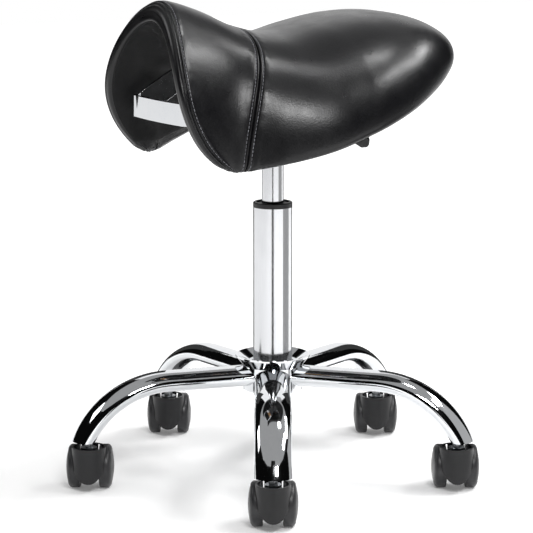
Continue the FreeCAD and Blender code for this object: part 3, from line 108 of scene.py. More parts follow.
@dataclass(frozen=True)
class Finish:
    """One finish: its colours, its gloss and its fine pattern."""

    name: str
    colour: str
    # second tone, mixed in by the fine pattern; in the thread's finish it is a painted sheen
    worn_and_sheen: str
    grain: Grain
    rough: tuple[float, float]
    grain_mm: float = 1.0
    relief_mm: float = 0.0
    metallic: float = 0.0
    ior: float = 1.5
    specular: float = 0.5
    cloud_mm: float = 25.0         # size of the soft patches of more and less gloss

    def material(self) -> bpy.types.Material:
        """Build the finish's material once and return it from then on."""
        known = bpy.data.materials.get(self.name)
        if known:
            return known
        material = bpy.data.materials.new(self.name)
        material.use_nodes = True
        tree = material.node_tree
        tree.nodes.clear()
        place = add_node(tree, "ShaderNodeTexCoord").outputs["Object"]
        pattern = self.pattern(tree, place)
        cloud = add_node(tree, "ShaderNodeTexNoise", {"noise_dimensions": "3D"},
                         {"Vector": place, "Scale": 1 / (self.cloud_mm * MM), "Detail": 4.0,
                          "Roughness": 0.6})
        gloss = add_node(tree, "ShaderNodeMapRange", {},
                         {"Value": cloud.outputs["Fac"], "From Min": 0.3, "From Max": 0.7,
                          "To Min": self.rough[0], "To Max": self.rough[1]})
        tint = add_node(tree, "ShaderNodeMixRGB", {},
                        {"Fac": pattern, "Color1": linear(self.colour), "Color2": linear(self.worn_and_sheen)})
        shader = add_node(tree, "ShaderNodeBsdfPrincipled", {},
                          {"Base Color": tint.outputs["Color"], "Roughness": gloss.outputs["Result"],
                           "Metallic": self.metallic, "IOR": self.ior,
                           "Specular IOR Level": self.specular})
        if self.relief_mm > 0:
            bump = add_node(tree, "ShaderNodeBump", {},
                            {"Height": pattern, "Strength": 1.0, "Distance": self.relief_mm * MM})
            tree.links.new(bump.outputs["Normal"], shader.inputs["Normal"])
        add_node(tree, "ShaderNodeOutputMaterial", {}, {"Surface": shader.outputs["BSDF"]})
        return material

    def pattern(self, tree: bpy.types.NodeTree, place: bpy.types.NodeSocket) -> bpy.types.NodeSocket:
        """Add the nodes of the fine pattern.

        Args:
            tree: Node tree that takes them.
            place: Socket with the place on the piece, in metres.

        Returns:
            Socket with the pattern's height, 0 to 1.
        """
        scale = 1 / (self.grain_mm * MM)
        if self.grain is Grain.PEBBLED:
            cells = add_node(tree, "ShaderNodeTexVoronoi", {"feature": "SMOOTH_F1"},
                             {"Vector": place, "Scale": scale, "Smoothness": 0.6})
            folds = add_node(tree, "ShaderNodeTexNoise", {},
                             {"Vector": place, "Scale": scale * 0.45, "Detail": 5.0, "Roughness": 0.65})
            both = add_node(tree, "ShaderNodeMath", {"operation": "MULTIPLY_ADD"},
                            {0: cells.outputs["Distance"], 1: -0.7, 2: folds.outputs["Fac"]})
            return add_node(tree, "ShaderNodeClamp", {}, {0: both.outputs[0]}).outputs[0]
        if self.grain is Grain.DRAWN:
            lie = add_node(tree, "ShaderNodeMapping", {}, {"Vector": place, "Scale": (1.0, 1.0, 0.02)})
            lines = add_node(tree, "ShaderNodeTexNoise", {},
                             {"Vector": lie.outputs["Vector"], "Scale": scale, "Detail": 3.0})
            return lines.outputs["Fac"]
        if self.grain is Grain.SAWN:
            lie = add_node(tree, "ShaderNodeMapping", {}, {"Vector": place, "Scale": (1.0, 0.08, 1.0)})
            years = add_node(tree, "ShaderNodeTexNoise", {},
                             {"Vector": lie.outputs["Vector"], "Scale": scale, "Detail": 6.0,
                              "Distortion": 1.2})
            return years.outputs["Fac"]
        if self.grain is Grain.WOVEN:
            weave = add_node(tree, "ShaderNodeTexWave", {"wave_type": "BANDS"},
                             {"Vector": place, "Scale": scale / 6, "Distortion": 2.0, "Detail": 2.0})
            return weave.outputs["Fac"]
        fine = add_node(tree, "ShaderNodeTexNoise", {},
                        {"Vector": place, "Scale": scale, "Detail": 3.0, "Roughness": 0.7})
        return fine.outputs["Fac"]


# Calendered PVC leatherette, embossed: broad soft highlights over a fine pebbled grain. The real
# pebbles are under 1 mm; they are drawn at 1.6 mm so that they show.
LEATHERETTE = Finish("black_pvc_leatherette", "#0b0b0d", "#161619", Grain.PEBBLED, (0.27, 0.35),
                     grain_mm=1.6, relief_mm=0.10, specular=0.4)
# The same sheet on the underside, not stretched, so duller
LINING = Finish("black_pvc_lining", "#09090a", "#111113", Grain.PEBBLED, (0.46, 0.58),
                grain_mm=1.8, relief_mm=0.06, specular=0.22)
# Bonded polyester thread, round and a little shiny. The black thread is coloured mid-grey to pale grey, a
# painted sheen that makes the stitches show as light dashes.
THREAD_PAINTED_SHEEN = Finish("black_thread_painted_grey_sheen", "#4c4c50", "#7c7c82", Grain.WOVEN, (0.35, 0.5),
                grain_mm=0.8, relief_mm=0.05)
# Polished steel with nickel and chrome plating: mirrors the studio sharply
CHROME = Finish("chrome_plated_steel", "#eceef0", "#e2e4e7", Grain.PLATED, (0.035, 0.07),
                grain_mm=9.0, metallic=1.0)
# Ground and chromed column tube: fine lengthways lines soften the reflections across it
SATIN_CHROME = Finish("satin_chromed_tube", "#dcdddf", "#c8c9cc", Grain.DRAWN, (0.14, 0.2),
                      grain_mm=0.6, relief_mm=0.004, metallic=1.0)
# Moulded ABS and polyamide of the hoods and wheels: black with a dull sheen
HOOD_PLASTIC = Finish("moulded_abs_hood", "#101012", "#18181a", Grain.MOULDED, (0.3, 0.4),
                      grain_mm=0.7, relief_mm=0.02, specular=0.4)
WHEEL_PLASTIC = Finish("moulded_polyamide_wheel", "#1c1c1e", "#262628", Grain.MOULDED, (0.32, 0.42),
                       grain_mm=0.7, relief_mm=0.015)
# Acetal guide bushing and the lever grips
SMALL_PLASTIC = Finish("moulded_polypropylene", "#131315", "#1e1e20", Grain.MOULDED, (0.35, 0.5),
                       grain_mm=0.8, relief_mm=0.02)
# Pressed steel of the mechanism under black powder coat: slight orange peel
COATED_STEEL = Finish("black_powder_coated_steel", "#151517", "#1f1f21", Grain.MOULDED, (0.4, 0.55),
                      grain_mm=1.4, relief_mm=0.03)
# Zinc plated steel of rods, pins, bolts and stems: cool grey, slightly clouded
ZINC = Finish("zinc_plated_steel", "#b4b7ba", "#9a9da0", Grain.DRAWN, (0.25, 0.38),
              grain_mm=0.9, metallic=1.0)
PLYWOOD = Finish("beech_plywood", "#b98f5f", "#8e6a41", Grain.SAWN, (0.5, 0.65),
                 grain_mm=5.0, relief_mm=0.05)
RUBBER = Finish("black_nitrile_rubber", "#111112", "#1a1a1b", Grain.MOULDED, (0.6, 0.75),
                grain_mm=1.2, relief_mm=0.02)
ALUMINIUM = Finish("turned_aluminium", "#c3c5c8", "#aeb0b3", Grain.DRAWN, (0.25, 0.35),
                   grain_mm=0.5, metallic=1.0)

FINISH_OF_SLOT = {
    "bright_chrome": CHROME,
    "satin_chrome": SATIN_CHROME,
    "wheel_plastic": WHEEL_PLASTIC,
    "hood_plastic": HOOD_PLASTIC,
    "black_plastic": SMALL_PLASTIC,
    "black_leatherette": LEATHERETTE,
    "black_lining": LINING,
    "seat_foam": LINING,
    "plywood": PLYWOOD,
    "black_painted_steel": COATED_STEEL,
    "rubber": RUBBER,
    "aluminium": ALUMINIUM,
    "zinc_steel": ZINC,
}


# Small tools for meshes

def new_piece(name: str, mesh: bpy.types.Mesh, body: str, finish: Finish,
              nodes: tuple[str, ...] = ()) -> bpy.types.Object:
    """Put a finished mesh into the scene as a piece of the stool.

    Args:
        name: Piece name.
        mesh: Its mesh, in place.
        body: Body that it rides on.
        finish: Its finish.
        nodes: CAD nodes that it stands for.

    Returns:
        The piece.
    """
    piece = bpy.data.objects.new(name, mesh)
    bpy.context.scene.collection.objects.link(piece)
    dress(piece, body, finish, nodes)
    return piece


def dress(piece: bpy.types.Object, body: str, finish: Finish,
          nodes: tuple[str, ...] = ()) -> None:
    """Give a piece its finish, its body and the nodes that it stands for."""
    piece.data.materials.clear()
    piece.data.materials.append(finish.material())
    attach(piece, body)
    if nodes:
        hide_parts(*nodes)
    log.info("%s: %d faces on %s", piece.name, len(piece.data.polygons), body)


def only(piece: bpy.types.Object) -> None:
    """Make one piece the selected and active one."""
    bpy.ops.object.select_all(action="DESELECT")
    piece.select_set(True)
    bpy.context.view_layer.objects.active = piece


def edit_whole(piece: bpy.types.Object) -> None:
    """Open a piece in edit mode with all of it selected."""
    only(piece)
    bpy.ops.object.mode_set(mode="EDIT")
    bpy.ops.mesh.select_all(action="SELECT")


def apply_all(piece: bpy.types.Object) -> None:
    """Apply every modifier of a piece."""
    only(piece)
    for modifier in list(piece.modifiers):
        bpy.ops.object.modifier_apply(modifier=modifier.name)


def smooth(piece: bpy.types.Object, degrees: float = 35.0) -> None:
    """Shade a piece smooth, with hard edges past an angle."""
    only(piece)
    bpy.ops.object.shade_smooth_by_angle(angle=math.radians(degrees))


def rounded_copy(node: str, name: str, radius: float, segments: int = 3,
                 sharp: float = 32.0) -> bpy.types.Object:
    """Copy a CAD node and break its sharp edges.

    Args:
        node: CAD node to copy.
        name: Piece name.
        radius: Edge radius in metres.
        segments: Steps in each rounded edge.
        sharp: Edges over this angle, in degrees, are rounded.

    Returns:
        The rounded piece, not yet dressed.
    """
    mesh = frame["nodes"][node].data.copy()
    piece = bpy.data.objects.new(name, mesh)
    bpy.context.scene.collection.objects.link(piece)
    edit_whole(piece)
    bpy.ops.mesh.remove_doubles(threshold=MERGE)
    bpy.ops.mesh.dissolve_limited(angle_limit=FLAT)
    bpy.ops.mesh.customdata_custom_splitnormals_clear()
    bpy.ops.object.mode_set(mode="OBJECT")
    smooth(piece, 38.0)
    bevel = piece.modifiers.new("edges", "BEVEL")
    bevel.width = radius
    bevel.segments = segments
    bevel.limit_method = "ANGLE"
    bevel.angle_limit = math.radians(sharp)
    bevel.use_clamp_overlap = True
    bevel.harden_normals = True
    apply_all(piece)
    return piece


def spun(name: str, profile: list[tuple[float, float]], steps: int = 72) -> bpy.types.Object:
    """Turn a closed profile about Z, from one vertex drawn out and spun.

    Args:
        name: Piece name.
        profile: Radius and height of each corner, in metres, ends on the axis or is closed by its listed
            corners.
        steps: Facets round the axis.

    Returns:
        The turned piece.
    """
    radius, height = profile[0]
    bpy.ops.object.select_all(action="DESELECT")
    bpy.ops.mesh.primitive_plane_add(size=MM, location=(0, 0, 0))
    piece = bpy.context.active_object
    piece.name = name
    bpy.ops.object.mode_set(mode="EDIT")
    bpy.ops.mesh.select_mode(type="VERT")
    bpy.ops.mesh.select_all(action="SELECT")
    bpy.ops.mesh.merge(type="CENTER")
    bpy.ops.transform.translate(value=(radius, 0, height))
    for next_radius, next_height in profile[1:]:
        bpy.ops.mesh.extrude_region_move(
            TRANSFORM_OT_translate={"value": (next_radius - radius, 0, next_height - height)})
        radius, height = next_radius, next_height
    bpy.ops.mesh.select_all(action="SELECT")
    bpy.ops.mesh.spin(steps=steps, angle=2 * math.pi, center=(0, 0, 0), axis=(0, 0, 1))
    bpy.ops.mesh.select_all(action="SELECT")
    bpy.ops.mesh.remove_doubles(threshold=0.00001)
    bpy.ops.mesh.normals_make_consistent(inside=False)
    bpy.ops.object.mode_set(mode="OBJECT")
    return piece


# The saddle

@dataclass(frozen=True)
class GuideLine:
    """A smooth line of one measure against the distance forward of the column, in millimetres."""

    points: tuple[tuple[float, float], ...]

    def at(self, forward: np.ndarray) -> np.ndarray:
        """Values of the line at forward positions."""
        xs = np.array([point[0] for point in reversed(self.points)], float)
        ys = np.array([point[1] for point in reversed(self.points)], float)
        forward = np.clip(forward, xs[0], xs[-1])
        spans = np.diff(xs)
        steps = np.diff(ys) / spans
        inner = (steps[:-1] * spans[1:] + steps[1:] * spans[:-1]) / (spans[:-1] + spans[1:])
        slopes = np.concatenate([steps[:1], inner, steps[-1:]])
        i = np.clip(np.searchsorted(xs, forward, side="right") - 1, 0, len(steps) - 1)
        t = (forward - xs[i]) / spans[i]
        start = (1 + 2 * t) * (1 - t) ** 2 * ys[i] + t * (1 - t) ** 2 * spans[i] * slopes[i]
        end = t * t * (3 - 2 * t) * ys[i + 1] + t * t * (t - 1) * spans[i] * slopes[i + 1]
        return start + end


@dataclass(frozen=True)
class SaddleForm:
    """The saddle's shape, in millimetres: arched sections whose measures follow guide lines."""

    crown: GuideLine = GuideLine(((200, 608), (155, 615), (115, 604), (65, 582), (12, 573),
                                  (-45, 583), (-100, 592), (-155, 592), (-200, 580), (-236, 561),
                                  (-256, 541)))
    front_width: GuideLine = GuideLine(((200, 120), (155, 113), (115, 121), (65, 149), (12, 171),
                                        (-45, 177)))
    hem: GuideLine = GuideLine(((200, 424), (155, 418), (115, 416), (65, 425), (12, 439),
                                (-45, 459), (-100, 480), (-155, 503), (-200, 520), (-236, 527),
                                (-256, 527)))
    side: GuideLine = GuideLine(((200, 1.9), (115, 1.9), (12, 2.2), (-100, 2.5), (-200, 2.45),
                                 (-256, 2.1)))
    top: GuideLine = GuideLine(((200, 2.1), (115, 2.1), (12, 2.0), (-100, 2.05), (-200, 2.2),
                                (-256, 2.0)))
    hollow: GuideLine = GuideLine(((200, 155), (155, 161), (115, 150), (65, 118), (12, 94),
                                   (-45, 76), (-100, 54), (-155, 26), (-200, 8), (-236, 3),
                                   (-256, 1.5)))
    widest_at: float = -45.0
    half_width: float = 177.0
    back: float = -256.0
    tail_roundness: float = 1.48
    hem_radius: float = 10.0
    hem_share: float = 0.42
    front_reach: float = 186.0
    front_height: float = 520.0
    front_upper: float = 240.0
    front_lower: float = 122.0
    seam_top: tuple[float, float] = (46.0, 600.0)
    seam_middle: tuple[float, float] = (90.5, 512.0)
    seam_bottom: tuple[float, float] = (111.0, 405.0)

    def measures(self, forward: np.ndarray) -> dict[str, np.ndarray]:
        """Measures of the sections at forward positions.

        Args:
            forward: Distances forward of the column.

        Returns:
            Half width, crown height, base height, hem roll, hollow height and the two fullnesses.
        """
        share = np.clip((self.widest_at - forward) / (self.widest_at - self.back), 0, 1)
        tail = self.half_width * (1 - share ** 2) ** (1 / self.tail_roundness)
        width = np.where(forward >= self.widest_at, self.front_width.at(forward), tail)
        crown = self.crown.at(forward)
        hem = self.hem.at(forward)
        roll = np.minimum(self.hem_radius, np.minimum(self.hem_share * (crown - hem),
                                                      self.hem_share * width))
        base = hem + roll
        return {"width": width, "crown": crown, "base": base, "roll": roll,
                "under": base + self.hollow.at(forward), "side": self.side.at(forward),
                "top": self.top.at(forward)}

    def arch(self, forward: np.ndarray, angle: np.ndarray, inside: np.ndarray) -> np.ndarray:
        """Points on the outer or the inner arch.

        Args:
            forward: Distances forward of the column.
            angle: Turn round the arch, 0 at the crown and 90 degrees at the hem, in radians.
            inside: True for the inner arch.

        Returns:
            Rows of forward, left and height.
        """
        m = self.measures(forward)
        width = np.where(inside, m["width"] - 2 * m["roll"], m["width"])
        height = np.where(inside, m["under"], m["crown"]) - m["base"]
        across = width * np.sin(np.abs(angle)) ** (2 / m["side"])
        rise = height * np.clip(np.cos(angle), 0, 1) ** (2 / m["top"])
        return np.stack([forward, np.sign(angle) * across, m["base"] + rise], axis=-1)

    def hem_point(self, forward: np.ndarray, side: np.ndarray, turn: np.ndarray) -> np.ndarray:
        """Points on the rolled hem, from its outer face (0) to its inner face (half a turn)."""
        m = self.measures(forward)
        across = m["width"] - m["roll"] + m["roll"] * np.cos(turn)
        return np.stack([forward, side * across, m["base"] - m["roll"] * np.sin(turn)], axis=-1)

    def front_edge(self, height: np.ndarray) -> np.ndarray:
        """Forward position of the pommel's edge at a height: two arcs."""
        rise = height - self.front_height
        radius = np.where(rise >= 0, self.front_upper, self.front_lower)
        root = np.sqrt(np.clip(radius ** 2 - rise ** 2, 0, None))
        return self.front_reach - radius + root

    def seam_edge(self, height: np.ndarray) -> np.ndarray:
        """Forward position of the cross seam at a height: one arc through three points."""
        (x1, z1), (x2, z2), (x3, z3) = self.seam_top, self.seam_middle, self.seam_bottom
        a = np.array([[x2 - x1, z2 - z1], [x3 - x1, z3 - z1]]) * 2
        b = np.array([x2 ** 2 - x1 ** 2 + z2 ** 2 - z1 ** 2, x3 ** 2 - x1 ** 2 + z3 ** 2 - z1 ** 2])
        centre = np.linalg.solve(a, b)
        radius = math.hypot(x1 - centre[0], z1 - centre[1])
        side = math.copysign(1.0, x2 - centre[0])
        return centre[0] + side * np.sqrt(np.clip(radius ** 2 - (height - centre[1]) ** 2, 0, None))


@dataclass(frozen=True)
class SaddleSeat:
    """Upholstered saddle: two padded panels, their seams and stitches, and the lining."""

    form: SaddleForm = SaddleForm()
    arch_steps: int = 92           # facets across the outer arch, and across the inner one
    hem_steps: int = 9             # facets round a hem
    rim_radius: float = 10.5       # of the roll along the pommel's edge, mm
    rim_seam_turn: float = 0.42    # where the rim's seam lies on that roll, radians
    seam_depth: float = 1.15       # mm
    ridge_rise: float = 0.55       # between the seam and its stitches
    stitch_depth: float = 0.8
    stitch_offset: float = 3.9     # from the seam
    stitch_pitch: float = 4.6
    stitch_length: float = 3.5
    stitch_radius: float = 0.5
    stitch_sink: float = 0.3       # under the smooth skin, in the stitches' own groove
    groove_width: float = 0.8
    ridge_at: float = 2.0          # from the seam
    ridge_width: float = 1.1
    stitch_width: float = 0.9      # of the stitches' own groove
    swell: float = 0.5             # rise of the padding behind the stitches
    swell_at: float = 9.0
    swell_width: float = 4.5
    pucker: float = 0.22           # height of the small folds beside a seam
    pucker_at: float = 7.0
    pucker_width: float = 5.0
    pucker_waves: float = 70.0     # folds for each radian of the arch
    fine_rings: tuple[float, float] = (6.5, 0.55)      # reach from a seam and step of the rings
    middle_rings: tuple[float, float] = (13.0, 1.3)
    coarse_step: float = 4.2
    lining_turn: float = 0.75      # where the lining's edge lies on the rim's roll, radians
    lining_share: float = 0.985    # of the inner arch that the lining covers
    lining_tail: float = 20.0      # lining's end ahead of the tail
    lining_thickness: float = 1.0
    lining_proud: float = 0.9      # how far the lining lies inside the padded panels
    lining_edge_proud: float = 0.1
    # Creases of the lining: slope, height 120 mm forward, width and rise
    creases: tuple[tuple[float, float, float, float], ...] = (
        (0.5, 500.0, 9.0, 1.8), (0.15, 532.0, 8.0, 1.4), (-0.35, 470.0, 10.0, 1.2))
    crease_at: float = 118.0       # forward of the column
    crease_reach: float = 42.0

    def spots(self) -> dict[str, np.ndarray]:
        """Spots round one closed section: outer arch, left hem, inner arch, right hem.

        Returns:
            For each spot its kind (0 outer, 1 hem, 2 inner), its angle and its side.
        """
        half = math.pi / 2
        outer = np.linspace(-half, half, self.arch_steps + 1)
        turns = np.linspace(0, math.pi, self.hem_steps + 1)[1:-1]
        kind = [0] * len(outer) + [1] * len(turns) + [2] * len(outer) + [1] * len(turns)
        angle = np.concatenate([outer, turns, outer[::-1], turns[::-1]])
        side = np.concatenate([np.sign(outer), np.ones(len(turns)), np.sign(outer[::-1]),
                               -np.ones(len(turns))])
        return {"kind": np.array(kind), "angle": angle, "side": side}

    def ring(self, spots: dict[str, np.ndarray], forward: np.ndarray,
             squeeze: float | np.ndarray) -> np.ndarray:
        """One closed ring of points, drawn in towards the middle of its wall by squeeze."""
        kind = spots["kind"]
        angle = np.where(kind == 1, 0.0, spots["angle"])
        arch = self.form.arch(forward, angle, kind == 2)
        hem = self.form.hem_point(forward, spots["side"], spots["angle"])
        ring = np.where((kind == 1)[:, None], hem, arch)
        outer = self.form.arch(forward, angle, np.zeros(len(kind), bool))
        inner = self.form.arch(forward, angle, np.ones(len(kind), bool))
        m = self.form.measures(forward)
        centre = np.stack([forward, spots["side"] * (m["width"] - m["roll"]), m["base"]], axis=-1)
        middle = np.where((kind == 1)[:, None], centre, (outer + inner) / 2)
        return middle + (ring - middle) * np.broadcast_to(squeeze, kind.shape)[:, None]

    def rim_squeeze(self, spots: dict[str, np.ndarray], turn: float) -> np.ndarray:
        """How thin the pommel's rolled edge is at a turn: round outside, fuller on the inside."""
        depth = 1 - math.sin(turn)
        fuller = (1 - (1 - depth) ** 4) ** 0.25
        return np.where(spots["kind"] == 2, fuller, math.cos(turn))

    def settle(self, spots: dict[str, np.ndarray], edge) -> np.ndarray:
        """Forward position of each spot on an edge whose forward position goes with height."""
        forward = np.full(len(spots["kind"]), 100.0)
        for _ in range(30):
            forward = edge(self.ring(spots, forward, 1.0)[:, 2])
        return forward

    def tips(self, spots: dict[str, np.ndarray], edge) -> np.ndarray:
        """Forward position at which the outer and the inner skin of an edge meet, for each spot."""
        count = len(spots["kind"])
        angle = np.where(spots["kind"] == 1, spots["side"] * math.pi / 2, spots["angle"])
        pair = [self.settle({"kind": np.full(count, kind), "angle": angle, "side": spots["side"]},
                            edge) for kind in (0, 2)]
        return (pair[0] + pair[1]) / 2

    def rim_row(self, edge: np.ndarray, tip: np.ndarray, turn: float) -> np.ndarray:
        """Forward position of each spot on the pommel's rolled edge at a turn, up to the tip."""
        return edge + (tip - edge) * (1 - math.cos(turn)) + self.rim_radius * math.sin(turn)

    def finish_panel(self, name: str, rows: list[np.ndarray], rise: np.ndarray,
                     nodes: tuple[str, ...]) -> bpy.types.Object:
        """Skin a panel's rings, raise its seams and make it a padded piece.

        Args:
            name: Piece name.
            rows: Closed rings, in millimetres of forward, left and height.
            rise: Height of the seams, ridges and folds over each point.
            nodes: CAD nodes that it stands for.

        Returns:
            The panel.
        """
        grid = np.array(rows)
        along_rows = np.gradient(grid, axis=0)
        wrapped = np.concatenate([grid[:, -1:], grid, grid[:, :1]], axis=1)
        round_ring = (wrapped[:, 2:] - wrapped[:, :-2]) / 2
        normal = np.cross(along_rows, round_ring)
        length = np.linalg.norm(normal, axis=-1, keepdims=True)
        normal = np.divide(normal, length, out=np.zeros_like(normal), where=length > 1e-9)
        crown_spot = self.arch_steps // 2
        middle_row = len(rows) // 2
        if normal[middle_row, crown_spot, 2] < 0:
            normal = -normal
        grid = grid + normal * rise[..., None]
        count_rows, count_spots = grid.shape[:2]
        points = np.stack([grid[..., 1], -grid[..., 0], grid[..., 2]], axis=-1).reshape(-1, 3) * MM
        faces = []
        for r in range(count_rows - 1):
            for s in range(count_spots):
                t = (s + 1) % count_spots
                faces.append((r * count_spots + s, r * count_spots + t,
                              (r + 1) * count_spots + t, (r + 1) * count_spots + s))
        mesh = bpy.data.meshes.new(name)
        mesh.from_pydata(points.tolist(), [], faces)
        piece = new_piece(name, mesh, "seat", LEATHERETTE, nodes)
        edit_whole(piece)
        bpy.ops.mesh.remove_doubles(threshold=MERGE)
        bpy.ops.mesh.normals_make_consistent(inside=False)
        bpy.ops.object.mode_set(mode="OBJECT")
        fine = piece.modifiers.new("fine", "SUBSURF")
        fine.levels = 1
        fine.render_levels = 1
        apply_all(piece)
        smooth(piece, 60.0)
        return piece

    def seam_profile(self, distance: np.ndarray) -> np.ndarray:
        """Height of the leather beside a topstitched seam, by the distance from it."""
        d = np.abs(distance)
        groove = -self.seam_depth * np.exp(-(d / self.groove_width) ** 2)
        ridge = self.ridge_rise * np.exp(-((d - self.ridge_at) / self.ridge_width) ** 2)
        stitched = -self.stitch_depth * np.exp(-((d - self.stitch_offset) / self.stitch_width) ** 2)
        swell = self.swell * np.exp(-((d - self.swell_at) / self.swell_width) ** 2)
        return groove + ridge + stitched + swell

    def puckers(self, distance: np.ndarray, angle: np.ndarray, seed: float) -> np.ndarray:
        """Small folds that run off the stitches, strongest beside them."""
        uneven = 3.1 * np.sin(9 * angle + seed) + 1.7 * np.sin(23 * angle + 2 * seed)
        phase = self.pucker_waves * angle + uneven
        near = np.exp(-((np.abs(distance) - self.pucker_at) / self.pucker_width) ** 2)
        return self.pucker * near * np.sin(phase)

    def seam_steps(self, length: float) -> list[float]:
        """Distances from the seam at which a panel has rings, fine at first."""
        fine_reach, fine_step = self.fine_rings
        middle_reach, middle_step = self.middle_rings
        steps = [0.0]
        while steps[-1] < middle_reach:
            steps.append(steps[-1] + (fine_step if steps[-1] < fine_reach else middle_step))
        while steps[-1] < length:
            steps.append(steps[-1] + self.coarse_step)
        return steps

    def build_front(self) -> bpy.types.Object:
        """Padded front panel, from the rolled pommel edge back to the cross seam."""
        spots = self.spots()
        edge = self.settle(spots, self.form.front_edge) - self.rim_radius
        rim_tip = self.tips(spots, self.form.front_edge) - self.rim_radius
        seam = self.settle(spots, self.form.seam_edge)
        seam_tip = self.tips(spots, self.form.seam_edge)
        covered = (spots["kind"] != 2).astype(float)
        angle = np.where(spots["kind"] == 0, spots["angle"], spots["side"] * math.pi / 2)
        rows = []
        rise = []
        for turn in np.linspace(math.pi / 2, 0.0, 27):
            rows.append(self.ring(spots, self.rim_row(edge, rim_tip, turn),
                                  self.rim_squeeze(spots, turn)))
            distance = self.rim_radius * (turn - self.rim_seam_turn)
            rise.append(self.seam_profile(distance) * covered)
        start = self.rim_radius * self.rim_seam_turn
        length = float(np.median(edge - seam))
        rim_steps = [s - start for s in self.seam_steps(length / 2) if s > start + 0.2]
        seam_steps = self.seam_steps(length / 2)
        shares = [s / length for s in rim_steps if s < length * 0.5]
        shares += [1 - s / length for s in reversed(seam_steps) if s < length * 0.46]
        for share in shares:
            rows.append(self.ring(spots, edge + (seam - edge) * share, 1.0))
            rim_distance = np.full(len(edge), share * length + start)
            seam_distance = (1 - share) * (edge - seam)
            rise.append((self.seam_profile(rim_distance) + self.puckers(rim_distance, angle, 1.3)) * covered
                        + (self.seam_profile(seam_distance)
                           + self.puckers(seam_distance, angle, 4.0)) * covered)
        for squeeze in (0.8, 0.5, 0.0):
            rows.append(self.ring(spots, seam_tip + (seam - seam_tip) * squeeze, squeeze))
            rise.append(np.zeros(len(seam)))
        return self.finish_panel("saddle_front_panel", rows, np.array(rise), ("cover_front",))

    def build_rear(self) -> bpy.types.Object:
        """Padded rear panel, from the cross seam back round the tail."""
        spots = self.spots()
        seam = self.settle(spots, self.form.seam_edge)
        covered = (spots["kind"] != 2).astype(float)
        angle = np.where(spots["kind"] == 0, spots["angle"], spots["side"] * math.pi / 2)
        back = self.form.back
        rows = []
        rise = []
        seam_tip = self.tips(spots, self.form.seam_edge)
        for squeeze in (0.0, 0.5, 0.8):
            rows.append(self.ring(spots, seam_tip + (seam - seam_tip) * squeeze, squeeze))
            rise.append(np.zeros(len(seam)))
        length = float(np.median(seam)) - back
        straight = [s / length for s in self.seam_steps(length * 0.72)]
        turned = 1 - straight[-1]
        tail = [1 - turned * (1 - math.sin(turn)) for turn in np.linspace(0, math.pi / 2, 26)[1:-1]]
        for share in straight + tail + [0.9997]:
            rows.append(self.ring(spots, seam + (back - seam) * share, 1.0))
            distance = share * (seam - back)
            rise.append((self.seam_profile(distance) + self.puckers(distance, angle, 2.2)) * covered)
        rows.append(self.ring(spots, np.full(len(seam), back + 0.05), 0.0))
        rise.append(np.zeros(len(seam)))
        return self.finish_panel("saddle_rear_panel", rows, np.array(rise),
                                 ("cover_rear", "seat_foam"))

    def build_lining(self) -> bpy.types.Object:
        """Lining of the hollow underside: one sheet inside the padded panels, with soft creases."""
        angle = np.linspace(-math.pi / 2, math.pi / 2, self.arch_steps + 1) * self.lining_share
        spots = {"kind": np.full(len(angle), 2), "angle": angle, "side": np.sign(angle)}
        edge = self.settle(spots, self.form.front_edge) - self.rim_radius
        tip = self.tips(spots, self.form.front_edge) - self.rim_radius
        back = np.full(len(angle), self.form.back + self.lining_tail)
        rows = [self.ring(spots, self.rim_row(edge, tip, turn), self.rim_squeeze(spots, turn))
                for turn in np.linspace(self.lining_turn, 0, 9)[:-1]]
        rows += [self.ring(spots, edge + (back - edge) * share, 1.0)
                 for share in np.linspace(0, 1, 104)]
        grid = np.array(rows)
        normal = np.cross(np.gradient(grid, axis=0), np.gradient(grid, axis=1))
        normal /= np.maximum(np.linalg.norm(normal, axis=-1, keepdims=True), 1e-9)
        if normal[30, len(angle) // 2, 2] > 0:
            normal = -normal
        proud = np.full(grid.shape[:2], self.lining_proud)
        proud[0] = self.lining_edge_proud
        proud[:, 0] = self.lining_edge_proud
        proud[:, -1] = self.lining_edge_proud
        proud += self.lining_creases(grid)
        grid = grid + normal * proud[..., None]
        count = len(angle)
        points = np.stack([grid[..., 1], -grid[..., 0], grid[..., 2]], axis=-1).reshape(-1, 3) * MM
        faces = [(r * count + s, r * count + s + 1, (r + 1) * count + s + 1, (r + 1) * count + s)
                 for r in range(len(rows) - 1) for s in range(count - 1)]
        mesh = bpy.data.meshes.new("saddle_lining")
        mesh.from_pydata(points.tolist(), [], faces)
        piece = new_piece("saddle_lining", mesh, "seat", LINING, ("seat_lining",))
        wall = piece.modifiers.new("wall", "SOLIDIFY")
        wall.thickness = self.lining_thickness * MM
        wall.offset = 0.0
        fine = piece.modifiers.new("fine", "SUBSURF")
        fine.levels = 1
        fine.render_levels = 1
        apply_all(piece)
        edit_whole(piece)
        bpy.ops.mesh.normals_make_consistent(inside=False)
        bpy.ops.object.mode_set(mode="OBJECT")
        smooth(piece, 60.0)
        return piece

    def lining_creases(self, grid: np.ndarray) -> np.ndarray:
        """Soft folds of the lining on both flaps, from the board's corner towards the edge."""
        forward, left, height = grid[..., 0], grid[..., 1], grid[..., 2]
        folds = np.zeros(forward.shape)
        reach = np.exp(-((forward - self.crease_at) / self.crease_reach) ** 2)
        side = np.clip((np.abs(left) - 40.0) / 30.0, 0, 1)
        for slope, start, width, rise in self.creases:
            line = height - (start + slope * (forward - 120.0))
            folds += rise * np.exp(-(line / width) ** 2) * reach * side
        return folds

    def surface(self, forward: np.ndarray, spots: dict[str, np.ndarray]) -> np.ndarray:
        """Points of the skin in metres of the stool's frame."""
        ring = self.ring(spots, forward, 1.0)
        return np.stack([ring[:, 1], -ring[:, 0], ring[:, 2]], axis=-1) * MM

